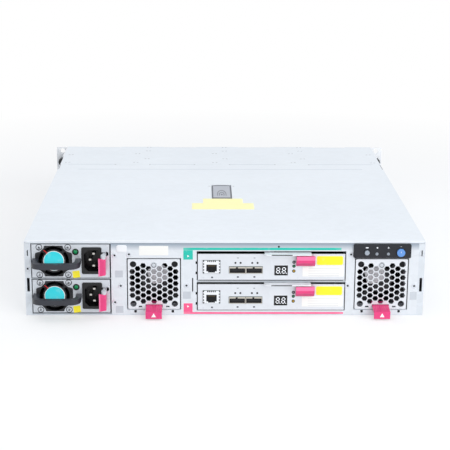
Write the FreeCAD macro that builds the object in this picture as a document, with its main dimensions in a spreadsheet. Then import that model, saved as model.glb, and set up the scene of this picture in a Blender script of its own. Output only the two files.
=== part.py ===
import FreeCAD, Part
import Sketcher
import math
import os

# Disk shelf enclosure, 2 rack units high, seen with its service side toward -Y.
# Frame: +X to the right when facing the service side, +Y from the service side toward the
# drives, +Z up.  The origin is the middle of the underside.  Millimetres and degrees.

SIZES = {
    # chassis
    "chassis_height": 87, "chassis_sheet": 1.2, "corner_flange": 7.1, "cover_gap": 0.3,
    "running_gap": 0.5, "corner_slot_width": 3, "corner_slot_floor": 28, "corner_slot_height": 16,
    # clear widths along the rear panel, from the left wall to the right
    "psu_to_fan": 17.5, "fan_to_io": 17.6, "io_to_fan": 9.9, "fan_to_corner": 10.7,
    "fan_center_height": 36.75,
    # power supplies
    "psu_width": 86.6, "psu_height": 38.6, "psu_depth": 194, "psu_floor": 3.2, "psu_row_gap": 2.6,
    "psu_wall": 0.8, "psu_side_gap": 1.1, "psu_bay_play": 2.6, "cage_sheet": 0.8,
    "cage_overrun": 4, "cage_window": 18, "cage_window_pitch": 34,
    "psu_fan_from_left": 24.4, "psu_fan_frame": 36.8, "psu_fan_depth": 28,
    "psu_fan_duct": 17.9, "psu_fan_hub": 13.4, "psu_fan_strut": 3, "psu_blades": 7,
    "inlet_from_left": 66.6, "inlet_width": 22.4, "inlet_height": 31, "inlet_depth": 22,
    "inlet_proud": 0.9, "inlet_lip": 1.2, "inlet_lift": 0.6, "socket_width": 16.6,
    "socket_height": 24.6, "socket_depth": 18, "socket_chamfer": 4.6, "pin_reach": 13.5,
    "pin_spacing": 14, "pin_offset": 2, "pin_width": 4, "pin_thickness": 2,
    "grip_reach": 25, "grip_left": 1, "grip_right": 54.8, "grip_bar": 6, "grip_height": 19.6,
    "grip_bend": 12, "psu_lever_from_left": 80.4, "psu_lever_height": 22, "psu_lever_drop": 1.4,
    "psu_lever_reach": 15, "psu_lever_sheet": 2.4, "psu_lever_pivot": 8, "psu_lever_stem": 6,
    "psu_lever_grip": 5.2, "psu_lever_grip_length": 9, "psu_lamp_from_left": 48.8,
    "psu_lamp_height": 30, "psu_lamp_hole": 3.8, "psu_plug_width": 28, "psu_plug_reach": 8,
    # fan modules
    "fan_face": 58.5, "fan_play": 2.3, "fan_wall": 1.2, "fan_grille": 1.6, "fan_module_depth": 72,
    "fan_frame_setback": 16, "fan_sleeve_overrun": 10.8, "fan_frame_depth": 38, "fan_duct": 26.4,
    "fan_hub": 15, "fan_strut": 2.5, "fan_rotor_depth": 24, "fan_blades": 7, "blade_pitch": 38,
    "blade_thickness": 1.4, "blade_gap": 0.7, "hex_pitch": 7, "hex_wall": 1.1,
    "grille_screw_spacing": 46.5, "grille_screw_hole": 3.6, "grille_lift": 0.65,
    "grille_vent_spread": 15.4, "tab_width": 18.2, "tab_reach": 18, "tab_sheet": 1.8,
    "tab_lip": 7.9, "tab_drop": 2.4, "tab_arm": 14, "tab_floor": 2.65, "tab_play": 0.8,
    "catch_spread": 21, "catch_floor": 3.1, "catch_width": 2.8, "catch_height": 3,
    # input and output modules
    "io_bay_floor": 5.6, "io_shelf_sheet": 2.4, "io_bay_sheet": 1.0, "io_width": 165,
    "io_height": 30.2, "io_bay_play": 2.3, "io_side_gap": 1.2, "io_floor_gap": 0.8,
    "io_shelf_gap": 0.3, "io_roof_gap": 1.4, "io_face": 1.6, "io_wall": 1.0, "io_depth": 286,
    "io_wall_drop": 2, "io_leg_width": 12, "io_window": 46, "board_sheet": 1.6,
    "board_height": 3.4, "board_inset": 0.4, "port_gap": 0.4, "port_proud": 0.6,
    "jack_left": 5.9, "jack_floor": 7.6, "jack_width": 19, "jack_height": 15.1,
    "port_left": 35.2, "port_pitch": 18.8, "port_width": 18.4, "port_height": 7.8,
    "port_wall": 0.9, "port_depth": 20, "display_left": 85.8, "display_floor": 5.1,
    "display_width": 15.2, "display_height": 11.8, "io_lamp_from_left": 107.7,
    "io_lamp_hole": 2.6, "io_lamp_low": 10.3, "io_lamp_mid": 16.1, "io_lamp_high": 20.7,
    "io_lever_sheet": 1.2, "io_lever_gap": 0.6, "io_lever_left": 74.6, "io_lever_length": 52.3,
    "io_lever_depth": 9, "io_lever_slot": 22, "io_latch_left": 110, "io_latch_width": 20.9,
    "io_latch_sheet": 1.8, "io_latch_floor": 17.4, "io_latch_height": 12.2, "io_latch_reach": 8.4,
    "plug_overhang": 14.6, "plug_height": 11,
    # drives
    "drive_columns": 4, "drive_rows": 3, "row_pitch": 27.6, "drive_cage_play": 1.4,
    "carrier_play": 2.55, "divider_sheet": 1.2, "ledge_width": 2.0, "ledge_sheet": 0.8,
    "drive_floor": 2.6, "disk_width": 101.6, "disk_height": 26.1, "disk_depth": 147,
    "carrier_height": 25.6, "carrier_depth": 190, "bezel_depth": 12, "bezel_proud": 3,
    "drive_lever_height": 17, "drive_lever_sheet": 3, "drive_lever_margin": 6,
    # boards behind the drives and the power supplies
    "midplane_sheet": 2.4, "drive_socket_reach": 7, "io_socket_reach": 10, "socket_from_left": 66,
    "drive_socket_width": 34, "drive_socket_height": 7, "psu_socket_reach": 8,
    "bar_width": 3, "bar_height": 18, "bar_pitch": 26,
    # cover and front plate
    "front_plate_depth": 119, "notch_width": 48, "notch_depth": 4, "notch_first": 30.5,
    "cover_lip": 2.3, "side_lip": 8, "seam": 0.5, "latch_width": 24.6, "latch_length": 71.8,
    "latch_from_rear": 194, "latch_depth": 6, "latch_proud": 0.2, "latch_off_middle": 0.9,
    "tab_tuck": 8, "tuck_width": 45,
    # ears
    "ear_flange": 17.3, "ear_sheet": 2.0, "ear_leg": 64, "ear_hole": 3.5,
    "ear_hole_from_wall": 8.55, "ear_hole_edge": 5.4, "ear_hole_rows": 76.2, "knob_radius": 6,
    "knob_length": 9, "knob_below_hole": 15.9, "shank_reach": 8, "shank_play": 0.4,
    # status panel
    "status_width": 64.3, "status_height": 16.4, "status_proud": 3, "status_overlap": 1.9,
    "status_inset": 4.4, "status_wall": 1.4, "id_button": 2.7, "power_button": 4.5,
    "button_gap": 0.4, "button_travel": 1.5, "button_row": 6.9, "id_button_from_left": 14.8,
    "power_button_from_left": 52.8, "lamp_from_left": 25.9, "lamp_pitch": 12.8,
    "lamp_radius": 1.7, "lamp_proud": 0.5,
}

doc = FreeCAD.newDocument("DiskShelf")
sheet = doc.addObject("Spreadsheet::Sheet", "Sizes")


class Size:
    """A number together with the sheet expression that it comes from."""

    def __init__(self, value, text):
        self.value = value
        self.text = text

    def __add__(self, other):
        return Size(self.value + number(other), f"({self.text} + {text_of(other)})")

    def __radd__(self, other):
        return Size(number(other) + self.value, f"({text_of(other)} + {self.text})")

    def __sub__(self, other):
        return Size(self.value - number(other), f"({self.text} - {text_of(other)})")

    def __rsub__(self, other):
        return Size(number(other) - self.value, f"({text_of(other)} - {self.text})")

    def __mul__(self, other):
        return Size(self.value * number(other), f"({self.text} * {text_of(other)})")

    __rmul__ = __mul__

    def __truediv__(self, other):
        return Size(self.value / number(other), f"({self.text} / {text_of(other)})")

    def __neg__(self):
        return Size(-self.value, f"(0 - {self.text})")


def number(value):
    return float(value.value) if isinstance(value, Size) else float(value)


def text_of(value):
    return value.text if isinstance(value, Size) else f"({float(value)!r})"


class Named:
    """Holds every size of the sheet under its own name."""


s = Named()
for row, (name, value) in enumerate(SIZES.items(), start=1):
    sheet.set(f"A{row}", name)
    sheet.set(f"B{row}", str(value))
    sheet.setAlias(f"B{row}", name)
    setattr(s, name, Size(value, f"Sizes.{name}"))
doc.recompute()


# ---------------------------------------------------------------- helpers

def bind(item, prop, value):
    item.setExpression(prop, text_of(value))


def place(item, x=0, y=0, z=0):
    for axis, value in zip("xyz", (x, y, z)):
        bind(item, f"Placement.Base.{axis}", value)


def rect(u0, v0, u1, v1):
    return [(u0, v0), (u1, v0), (u1, v1), (u0, v1)]


def disc(u, v, radius):
    return (u, v, radius)


def many_sided(u, v, radius, sides=24):
    """A regular loop with its corners on a circle, for a duct, a hub or a knob."""
    turns = [2 * math.pi * (corner + 0.5) / sides for corner in range(sides)]
    return [(u + radius * math.cos(turn), v + radius * math.sin(turn)) for turn in turns]


def hexagon(u, v, flats):
    """A hexagon with flat top and bottom, `flats` from one to the other."""
    corner = flats / math.sqrt(3)
    half = corner / 2
    return [(u + corner, v), (u + half, v + flats / 2), (u - half, v + flats / 2),
            (u - corner, v), (u - half, v - flats / 2), (u + half, v - flats / 2)]


PLANES = {"XY": "XY_Plane", "XZ": "XZ_Plane", "YZ": "YZ_Plane"}


def origin_item(body, role):
    return next(item for item in body.Origin.OriginFeatures if item.Role == role)


def draw(body, plane, start, loops):
    """A sketch on a plane of the body, `start` along that plane's world axis."""
    sketch = body.newObject("Sketcher::SketchObject", "Outline")
    sketch.AttachmentSupport = (origin_item(body, PLANES[plane]), "")
    sketch.MapMode = "FlatFace"
    bind(sketch, "AttachmentOffset.Base.z", -start if plane == "XZ" else start)
    for loop in loops:
        if isinstance(loop, tuple):
            draw_disc(sketch, *loop)
        else:
            draw_polygon(sketch, loop)
    return sketch


def hold(sketch, kind, *where):
    """Adds a distance or radius and ties it to the sheet."""
    index = sketch.addConstraint(Sketcher.Constraint(kind, *where[:-1], number(where[-1])))
    if isinstance(where[-1], Size):
        sketch.setExpression(f"Constraints[{index}]", where[-1].text)


def draw_disc(sketch, u, v, radius):
    center = FreeCAD.Vector(number(u), number(v), 0)
    ring = sketch.addGeometry(Part.Circle(center, FreeCAD.Vector(0, 0, 1), number(radius)))
    hold(sketch, "DistanceX", -1, 1, ring, 3, u)
    hold(sketch, "DistanceY", -1, 1, ring, 3, v)
    hold(sketch, "Radius", ring, radius)


def draw_polygon(sketch, points):
    places = [FreeCAD.Vector(number(u), number(v), 0) for u, v in points]
    lines = [sketch.addGeometry(Part.LineSegment(a, b))
             for a, b in zip(places, places[1:] + places[:1])]
    for line, following in zip(lines, lines[1:] + lines[:1]):
        sketch.addConstraint(Sketcher.Constraint("Coincident", line, 2, following, 1))
    for line, (u, v) in zip(lines, points):
        hold(sketch, "DistanceX", -1, 1, line, 1, u)
        hold(sketch, "DistanceY", -1, 1, line, 1, v)


class Piece:
    """A PartDesign body built from sketches on its own origin planes."""

    def __init__(self, label):
        self.body = doc.addObject("PartDesign::Body", label)
        self.body.Label = label

    def feature(self, kind, name):
        item = self.body.newObject(f"PartDesign::{kind}", name)
        return item

    def tip(self, item):
        self.body.Tip = item
        return item

    def pad(self, plane, start, length, *loops):
        """Adds the outline from `start` toward the plane's world axis."""
        item = self.feature("Pad", "Pad")
        item.Profile = draw(self.body, plane, start, loops)
        item.Reversed = plane == "XZ"
        bind(item, "Length", length)
        return self.tip(item)

    def pocket(self, plane, start, length, *loops):
        """Cuts the outline from `start` toward the plane's world axis."""
        item = self.feature("Pocket", "Pocket")
        item.Profile = draw(self.body, plane, start, loops)
        item.Reversed = plane != "XZ"
        bind(item, "Length", length)
        return self.tip(item)

    def repeat(self, item, first, second=None):
        """Repeats a feature along one or two (axis, step, count) directions."""
        grid = self.feature("LinearPattern", "Repeat")
        grid.Originals = [item]
        for suffix, along in (("", first), ("2", second)):
            if along is None:
                continue
            axis, step, count = along
            setattr(grid, f"Direction{suffix}", (origin_item(self.body, f"{axis}_Axis"), [""]))
            bind(grid, f"Length{suffix}", step * (number(count) - 1))
            bind(grid, f"Occurrences{suffix}", count)
        return self.tip(grid)

    def spin(self, item, axis, count):
        """Repeats a feature evenly round an axis of the body."""
        ring = self.feature("PolarPattern", "Ring")
        ring.Originals = [item]
        ring.Axis = (origin_item(self.body, f"{axis}_Axis"), [""])
        ring.Angle = 360
        bind(ring, "Occurrences", count)
        return self.tip(ring)

    def soften(self, kind, size, wanted):
        """Fillets or chamfers the edges for which `wanted` says yes."""
        doc.recompute()
        base = self.body.Tip
        names = [f"Edge{index}" for index, edge in enumerate(base.Shape.Edges, start=1)
                 if wanted(edge)]
        if not names:
            raise RuntimeError(f"{self.body.Label}: no edge to {kind}")
        item = self.feature(kind, kind)
        item.Base = (base, names)
        bind(item, "Radius" if kind == "Fillet" else "Size", size)
        return self.tip(item)


def along(axis, test=lambda middle: True):
    """Chooses straight edges parallel to an axis whose middle passes the test."""
    direction = {"X": FreeCAD.Vector(1, 0, 0), "Y": FreeCAD.Vector(0, 1, 0),
                 "Z": FreeCAD.Vector(0, 0, 1)}[axis]

    def wanted(edge):
        if not isinstance(edge.Curve, Part.Line):
            return False
        run = edge.Vertexes[-1].Point - edge.Vertexes[0].Point
        middle = edge.BoundBox.Center
        return run.cross(direction).Length < 1e-6 and test(middle)
    return wanted


def near(value, target):
    return abs(value - number(target)) < 0.05


def block(x, y, z, width, depth, height, name="Block"):
    item = doc.addObject("Part::Box", name)
    for prop, value in (("Length", width), ("Width", depth), ("Height", height)):
        bind(item, prop, value)
    place(item, x, y, z)
    return item


def rod(x, y, z, radius, length, name="Rod"):
    """A round bar along Y that starts at the given point."""
    item = doc.addObject("Part::Cylinder", name)
    bind(item, "Radius", radius)
    bind(item, "Height", length)
    item.Placement.Rotation = FreeCAD.Rotation(FreeCAD.Vector(1, 0, 0), -90)
    place(item, x, y, z)
    return item


def twelve_sided(x, y, z, radius, length):
    """A grip bar along Y with twelve flats."""
    item = doc.addObject("Part::Prism", "Grip")
    item.Polygon = 12
    bind(item, "Circumradius", radius)
    bind(item, "Height", length)
    item.Placement.Rotation = FreeCAD.Rotation(FreeCAD.Vector(1, 0, 0), -90)
    place(item, x, y, z)
    return item


def cut(base, *tools):
    item = doc.addObject("Part::Cut", "Cut")
    item.Base = base
    item.Tool = tools[0] if len(tools) == 1 else fuse(*tools)
    return item


def fuse(*pieces):
    item = doc.addObject("Part::MultiFuse", "Joined")
    item.Shapes = list(pieces)
    return item


nodes = []


def keep(item):
    """Counts a finished item as a sub-part that gets a file."""
    nodes.append(item)
    return item


def group(label, pieces, x=0, y=0, z=0):
    """A sub-part made of the given solids, carried to its place."""
    item = doc.addObject("Part::Compound", label)
    item.Label = label
    item.Links = [piece.body if isinstance(piece, Piece) else piece for piece in pieces]
    place(item, x, y, z)
    return keep(item)


# ---------------------------------------------------------------- layout

psu_bay_width = s.psu_width + s.psu_bay_play
psu_pitch = s.psu_height + s.psu_row_gap
fan_opening = s.fan_face + s.fan_play
io_bay_width = s.io_width + s.io_bay_play
io_storey = s.io_floor_gap + s.io_height + s.io_lever_gap + s.io_lever_sheet

chassis_width = (s.corner_flange * 2 + psu_bay_width + s.psu_to_fan + fan_opening * 2
                 + s.fan_to_io + io_bay_width + s.io_to_fan + s.fan_to_corner)
module_reach = s.io_depth + s.plug_overhang + s.running_gap + s.io_socket_reach
chassis_depth = (module_reach + s.midplane_sheet + s.running_gap + s.drive_socket_reach
                 + s.carrier_depth - s.bezel_proud)
column_pitch = (chassis_width - s.chassis_sheet * 2 - s.drive_cage_play
                - s.divider_sheet) / s.drive_columns
carrier_width = column_pitch - s.divider_sheet - s.carrier_play

rear = -chassis_depth / 2
front = chassis_depth / 2
left = -chassis_width / 2
right = chassis_width / 2
inner_rear = rear + s.chassis_sheet
roof = s.chassis_height - s.chassis_sheet
panel_top = s.chassis_height - s.cover_lip - s.cover_gap

psu_bay_left = left + s.corner_flange
psu_bay_right = psu_bay_left + psu_bay_width
fan1_left = psu_bay_right + s.psu_to_fan
fan1_right = fan1_left + fan_opening
io_bay_left = fan1_right + s.fan_to_io
io_bay_right = io_bay_left + io_bay_width
fan2_left = io_bay_right + s.io_to_fan
fan_centers = [fan1_left + fan_opening / 2, fan2_left + fan_opening / 2]
fan_opening_floor = s.fan_center_height - fan_opening / 2
io_shelf_height = s.io_bay_floor + io_storey + s.io_shelf_gap
io_shelf_top = io_shelf_height + s.io_shelf_sheet
io_bay_top = io_shelf_top + io_storey + s.io_roof_gap

midplane_back = rear + module_reach
midplane_front = midplane_back + s.midplane_sheet
drive_back = midplane_front + s.running_gap + s.drive_socket_reach
front_plate_start = front - s.front_plate_depth
cage_depth = s.psu_depth + s.cage_overrun
psu_socket_start = inner_rear + cage_depth + s.running_gap

status_left = fan2_left - s.status_overlap
status_right = status_left + s.status_width
status_floor = panel_top - 0.1 - s.status_height


# ---------------------------------------------------------------- chassis

def chassis_tray():
    """One folded sheet: floor, two side walls and the narrow flanges at the rear corners."""
    tray = Piece("chassis_tray")
    wall = s.chassis_sheet
    tray.pad("XZ", rear, chassis_depth,
             [(left, 0), (right, 0), (right, roof), (right - wall, roof), (right - wall, wall),
              (left + wall, wall), (left + wall, roof), (left, roof)])
    for inner, outer in ((psu_bay_left, left), (right - s.corner_flange, right)):
        low, high = (outer, inner) if number(outer) < number(inner) else (inner, outer)
        tray.pad("XZ", rear, wall, rect(low, 0, high, panel_top))
    half_slot = s.corner_slot_width / 2
    slot_top = s.corner_slot_floor + s.corner_slot_height
    slit_top = panel_top - 8.1
    slit_floor = slit_top - 6.6
    for side in (left + s.corner_flange / 2, right - s.corner_flange / 2):
        tray.pocket("XZ", rear, wall,
                    rect(side - half_slot, s.corner_slot_floor, side + half_slot, slot_top),
                    rect(side - half_slot * 0.4, slit_floor, side + half_slot * 0.4, slit_top))
    return keep(tray.body)


def rear_panel():
    """The pierced panel between the power supplies and the right corner flange."""
    panel = Piece("rear_panel")
    wall = s.chassis_sheet
    end = right - s.corner_flange
    openings = [rect(x, fan_opening_floor, x + fan_opening, fan_opening_floor + fan_opening)
                for x in (fan1_left, fan2_left)]
    openings.append(rect(io_bay_left, s.io_bay_floor, io_bay_right, io_bay_top))
    openings.append(rect(status_left + s.status_inset - 0.4, status_floor + 2,
                         status_right - s.status_inset + 0.4, panel_top - 2))
    catch_top = s.catch_floor + s.catch_height
    half_catch = s.catch_width / 2
    for middle in fan_centers:
        for x in (middle - s.catch_spread, middle + s.catch_spread):
            openings.append(rect(x - half_catch, s.catch_floor, x + half_catch, catch_top))
    panel.pad("XZ", rear, wall, rect(psu_bay_right, wall, end, panel_top), *openings)
    slit_x = io_bay_left - 5.2
    panel.pocket("XZ", rear, wall,
                 rect(slit_x, s.corner_slot_floor, slit_x + wall,
                      s.corner_slot_floor + s.corner_slot_height))
    return keep(panel.body)


def psu_cage():
    """A folded two-storey cage that guides both power supplies."""
    cage = Piece("psu_cage")
    thin = s.cage_sheet
    floor = s.chassis_sheet
    shelf_middle = s.psu_floor + psu_pitch - s.psu_row_gap / 2
    low = rect(psu_bay_left, floor + thin, psu_bay_right, shelf_middle - thin / 2)
    high = rect(psu_bay_left, shelf_middle + thin / 2, psu_bay_right, panel_top - thin)
    cage.pad("XZ", inner_rear, cage_depth,
             rect(psu_bay_left - thin, floor, psu_bay_right + thin, panel_top), low, high)
    first = inner_rear + s.cage_window_pitch - thin * 5
    rim = s.cage_window / 2
    hole = cage.pocket("YZ", psu_bay_right - thin, thin * 3,
                       rect(first, floor + rim, first + s.cage_window, shelf_middle - rim))
    cage.repeat(hole, ("Y", s.cage_window_pitch, 4), ("Z", psu_pitch, 2))
    return keep(cage.body)


def fan_sleeves():
    """The two square sleeves behind the rear panel that the fan modules slide into."""
    sleeves = []
    thin = s.io_bay_sheet
    depth = s.fan_module_depth + s.fan_sleeve_overrun + s.chassis_sheet
    for x in (fan1_left, fan2_left):
        sleeve = Piece("Sleeve")
        floor = s.fan_center_height - s.fan_face / 2 - s.cover_gap
        top = fan_opening_floor + fan_opening
        sleeve.pad("XZ", inner_rear, depth,
                   rect(x - thin, floor - thin, x + fan_opening + thin, top + thin),
                   rect(x, floor, x + fan_opening, top))
        sleeves.append(sleeve)
    return group("fan_sleeves", sleeves)


def io_cage():
    """The two-storey guide for the input and output modules."""
    cage = Piece("io_cage")
    thin = s.io_bay_sheet
    depth = midplane_back - inner_rear - s.io_socket_reach * 3
    cage.pad("XZ", inner_rear, depth,
             rect(io_bay_left - thin, s.io_bay_floor - thin, io_bay_right + thin, io_bay_top + thin),
             rect(io_bay_left, s.io_bay_floor, io_bay_right, io_shelf_height),
             rect(io_bay_left, io_shelf_top, io_bay_right, io_bay_top))
    leg = s.io_leg_width
    for x in (io_bay_left + leg, io_bay_right - leg * 2):
        cage.pad("XZ", inner_rear + leg / 2, depth - leg,
                 rect(x, s.chassis_sheet, x + leg, s.io_bay_floor - thin))
    first_x = io_bay_left + s.io_window / 3
    first_y = inner_rear + s.io_window
    hole = cage.pocket("XY", io_bay_top - thin, thin * 3,
                       rect(first_x, first_y, first_x + s.io_window, first_y + s.io_window))
    cage.repeat(hole, ("X", s.io_window + 8, 2), ("Y", s.io_window + 12, 3))
    return keep(cage.body)


def drive_cage():
    """Three dividers on a floor sheet, with ledges that the drive carriers run on."""
    cage = Piece("drive_cage")
    thin = s.divider_sheet
    base = s.chassis_sheet
    back = drive_back + 8
    depth = front - back - 1
    half = column_pitch * 2
    top = s.drive_floor + s.row_pitch * s.drive_rows - 1.2
    cage.pad("XZ", back, depth, rect(-half - thin / 2, base, half + thin / 2, base + 1))
    wall = cage.pad("XZ", back, depth, rect(-half - thin / 2, base, -half + thin / 2, top))
    cage.repeat(wall, ("X", column_pitch, s.drive_columns + 1))
    ledges = []
    start = -half + thin / 2
    end = -half + column_pitch - thin / 2
    height = s.drive_floor + s.row_pitch - (s.row_pitch - s.disk_height) / 2 + 0.1
    for u0, u1 in ((start, start + s.ledge_width), (end - s.ledge_width, end)):
        ledges.append(rect(u0, height - s.ledge_sheet / 2, u1, height + s.ledge_sheet / 2))
    runner = cage.pad("XZ", back, depth, *ledges)
    cage.repeat(runner, ("X", column_pitch, s.drive_columns), ("Z", s.row_pitch, s.drive_rows - 1))
    crest_start = front_plate_start + 14
    crest = cage.pad("XZ", crest_start, front - 1 - crest_start,
                     rect(-half + column_pitch - thin / 2, top - 1, -half + column_pitch + thin / 2,
                          roof))
    cage.repeat(crest, ("X", column_pitch, s.drive_columns - 1))
    return keep(cage.body)


def front_top_plate():
    """The fixed plate over the drive bays, notched along its front edge."""
    plate = Piece("front_top_plate")
    plate.pad("XY", roof, s.chassis_sheet,
              rect(left, front_plate_start + s.seam, right, front))
    first = left + s.notch_first
    notch = plate.pocket("XY", roof, s.chassis_sheet,
                         rect(first, front - s.notch_depth, first + s.notch_width, front + 1))
    plate.repeat(notch, ("X", column_pitch - 0.2, s.drive_columns))
    return keep(plate.body)


def midplane_board():
    """The board between the drives and the modules, with windows for the air."""
    board = Piece("midplane_board")
    floor = s.chassis_sheet + 1
    top = roof - 2.8
    edge = right - s.chassis_sheet - 1
    board.pad("XZ", midplane_back, s.midplane_sheet, rect(-edge, floor, edge, top))
    wide = column_pitch - s.socket_from_left
    tall = s.row_pitch - s.drive_socket_height * 2
    first_x = -column_pitch * 2 + s.drive_socket_height - 1
    first_z = s.drive_floor + s.drive_socket_height - 1
    window = board.pocket("XZ", midplane_back, s.midplane_sheet,
                          rect(first_x, first_z, first_x + wide, first_z + tall))
    board.repeat(window, ("X", column_pitch, s.drive_columns), ("Z", s.row_pitch, s.drive_rows))
    return keep(board.body)


def midplane_connectors():
    """A socket for each drive on one face and for each module on the other."""
    pieces = []
    for column in range(int(SIZES["drive_columns"])):
        for row_index in range(int(SIZES["drive_rows"])):
            x = column_pitch * (column - 2) + s.socket_from_left
            z = s.drive_floor + s.row_pitch * row_index + 9
            pieces.append(block(x, midplane_front, z, s.drive_socket_width, s.drive_socket_reach,
                                s.drive_socket_height))
    for floor in io_floors:
        for x, width in io_plugs:
            pieces.append(block(io_left + x - 0.6, midplane_back - s.io_socket_reach,
                                floor + io_plug_floor - 0.5, width + 1.2, s.io_socket_reach,
                                s.plug_height + 3))
    return group("midplane_connectors", pieces)


def power_board():
    """The small board behind the power supplies, with their two sockets."""
    board = block(psu_bay_left, psu_socket_start + s.psu_socket_reach, s.chassis_sheet + 1,
                  psu_bay_width, s.midplane_sheet, panel_top - s.chassis_sheet - 3)
    pieces = [board]
    for floor in psu_floors:
        socket = block(psu_left + psu_plug_left - 3, psu_socket_start,
                       floor + psu_plug_floor - 4, s.psu_plug_width + 6, s.psu_socket_reach, 10)
        slot = block(psu_left + psu_plug_left - 1.5, psu_socket_start - 1,
                     floor + psu_plug_floor - 1, s.psu_plug_width + 3, s.psu_socket_reach - 0.5, 4)
        pieces.append(cut(socket, slot))
    return group("power_board", pieces)


def bus_bars():
    """Three copper bars that carry the current from the power board to the midplane."""
    start = psu_socket_start + s.psu_socket_reach + s.midplane_sheet
    first = psu_bay_left + s.bar_pitch / 2
    bars = [block(first + s.bar_pitch * index, start, psu_pitch - 1, s.bar_width,
                  midplane_back - start, s.bar_height) for index in range(3)]
    return group("bus_bars", bars)


def rack_ear(label, side):
    """An angle bracket: a leg on the chassis wall and a flange with the rack holes."""
    ear = Piece(label)
    margin = 0.5
    wall = side * chassis_width / 2
    leg = wall + side * s.ear_sheet
    tip = wall + side * s.ear_flange
    start = front - s.ear_leg
    ear.pad("XY", margin, s.chassis_height - margin * 2,
            [(wall, start), (leg, start), (leg, front - s.ear_sheet), (tip, front - s.ear_sheet),
             (tip, front), (wall, front)])
    middle = wall + side * s.ear_hole_from_wall
    for z in (s.ear_hole_edge, knob_height, s.ear_hole_edge + s.ear_hole_rows):
        ear.pocket("XZ", front - s.ear_sheet, s.ear_sheet, disc(middle, z, s.ear_hole))
    return keep(ear.body)


knob_height = s.ear_hole_edge + s.ear_hole_rows - s.knob_below_hole


def rack_knobs():
    """Captive thumbscrews: a knob behind the ear and a shank through it."""
    pieces = []
    start = front - s.ear_sheet
    for side in (-1, 1):
        x = side * (chassis_width / 2 + s.ear_hole_from_wall)
        knob = twelve_sided(x, start - s.knob_length, knob_height, s.knob_radius, s.knob_length)
        shank = rod(x, start, knob_height, s.ear_hole - s.shank_play, s.ear_sheet + s.shank_reach)
        pieces.append(fuse(knob, shank))
    return group("rack_knobs", pieces)


# ---------------------------------------------------------------- status panel

button_height = status_floor + s.button_row
id_button_x = status_left + s.id_button_from_left
power_button_x = status_left + s.power_button_from_left
lamp_xs = [status_left + s.lamp_from_left, status_left + s.lamp_from_left + s.lamp_pitch]


def status_panel():
    """A moulded bezel on the rear panel with a shallow box behind it."""
    panel = Piece("status_panel")
    start = rear - s.status_proud
    panel.pad("XZ", start, s.status_proud,
              rect(status_left, status_floor, status_right, status_floor + s.status_height))
    panel.soften("Chamfer", 1.2, along("Y"))
    box_left = status_left + s.status_inset
    box_right = status_right - s.status_inset
    box_floor = status_floor + 2.4
    box_top = panel_top - 2.4
    box_wall = s.status_wall
    box_depth = s.status_proud * 4
    panel.pad("XZ", rear, box_depth, rect(box_left, box_floor, box_right, box_top))
    panel.pocket("XZ", rear + 0.2, box_depth,
                 rect(box_left + box_wall, box_floor + box_wall,
                      box_right - box_wall, box_top - box_wall))
    panel.pocket("XZ", start, s.status_proud + s.button_travel * 2,
                 disc(id_button_x, button_height, s.id_button + s.button_gap),
                 disc(power_button_x, button_height, s.power_button + s.button_gap))
    panel.soften("Chamfer", 0.8, along("X", lambda p: near(p.y, start)))
    return keep(panel.body)


def status_lights():
    """Two round lenses set into the bezel beside the buttons."""
    lights = [rod(x, rear - s.status_proud - s.lamp_proud, button_height - 1.6, s.lamp_radius,
                  s.lamp_proud) for x in lamp_xs]
    return group("status_lights", lights)


def push_button(label, x, radius):
    """A round cap with a square stem behind it."""
    button = Piece(label)
    start = rear - s.status_proud - s.button_travel - s.button_gap
    button.pad("XZ", start, s.status_proud + s.button_travel, disc(x, button_height, radius))
    stem = radius * 0.5
    button.pad("XZ", start, 10, rect(x - stem, button_height - stem, x + stem, button_height + stem))
    return keep(button.body)


# ---------------------------------------------------------------- cover

latch_x = -s.latch_off_middle
latch_start = rear + s.latch_from_rear
latch_end = latch_start + s.latch_length


def latch_well(margin):
    """The outline round the cover's latch, larger by a margin."""
    reach = s.latch_width / 2 + margin
    return rect(latch_x - reach, latch_start - margin, latch_x + reach, latch_end + margin)


def top_cover():
    """The removable rear cover: a plate with folded lips and tabs that tuck forward."""
    cover = Piece("top_cover")
    wall = s.chassis_sheet
    gap = s.running_gap
    cover.pad("XY", roof, wall, rect(left, rear, right, front_plate_start), latch_well(gap))
    inset = wall + gap
    cover.pad("XZ", rear, wall, rect(left + inset, s.chassis_height - s.cover_lip, right - inset, roof))
    lip_start = rear + wall * 20
    lip_end = midplane_back - wall * 5
    for low, high in ((left + inset, left + inset + wall), (right - inset - wall, right - inset)):
        cover.pad("XY", roof - s.side_lip, s.side_lip, rect(low, lip_start, high, lip_end))
    first = left + s.notch_first + s.notch_width + 0.5
    under = roof - s.cover_gap
    tip = front_plate_start + s.tab_tuck
    tuck = cover.pad("YZ", first, s.tuck_width,
                     [(front_plate_start - 12, roof), (front_plate_start - 12, under - wall),
                      (tip, under - wall), (tip, under), (front_plate_start, under),
                      (front_plate_start, roof)])
    cover.repeat(tuck, ("X", column_pitch, s.drive_columns - 1))
    cover.pad("XY", roof - s.latch_depth - 1, s.latch_depth + 1,
              latch_well(gap + wall), latch_well(gap))
    cover.pad("XY", roof - s.latch_depth - 2, 1.0, latch_well(gap + wall))
    return keep(cover.body)


def cover_latch():
    """The flush lever of the cover, hinged at its rear end."""
    latch = Piece("cover_latch")
    top = s.chassis_height + s.latch_proud
    blade = top - 3.2
    latch.pad("YZ", latch_x - s.latch_width / 2, s.latch_width,
              [(latch_start, top - 3), (latch_start + 1, top - 5),
               (latch_start + 6, top - s.latch_depth), (latch_end - 8, blade),
               (latch_end, blade), (latch_end, top), (latch_start, top)])
    latch.soften("Fillet", 2.8, along("X", lambda p: near(p.y, latch_start) and near(p.z, top)))
    latch.soften("Fillet", 8, along("Z", lambda p: near(p.y, latch_end)))
    return keep(latch.body)


# ---------------------------------------------------------------- power supplies

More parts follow.
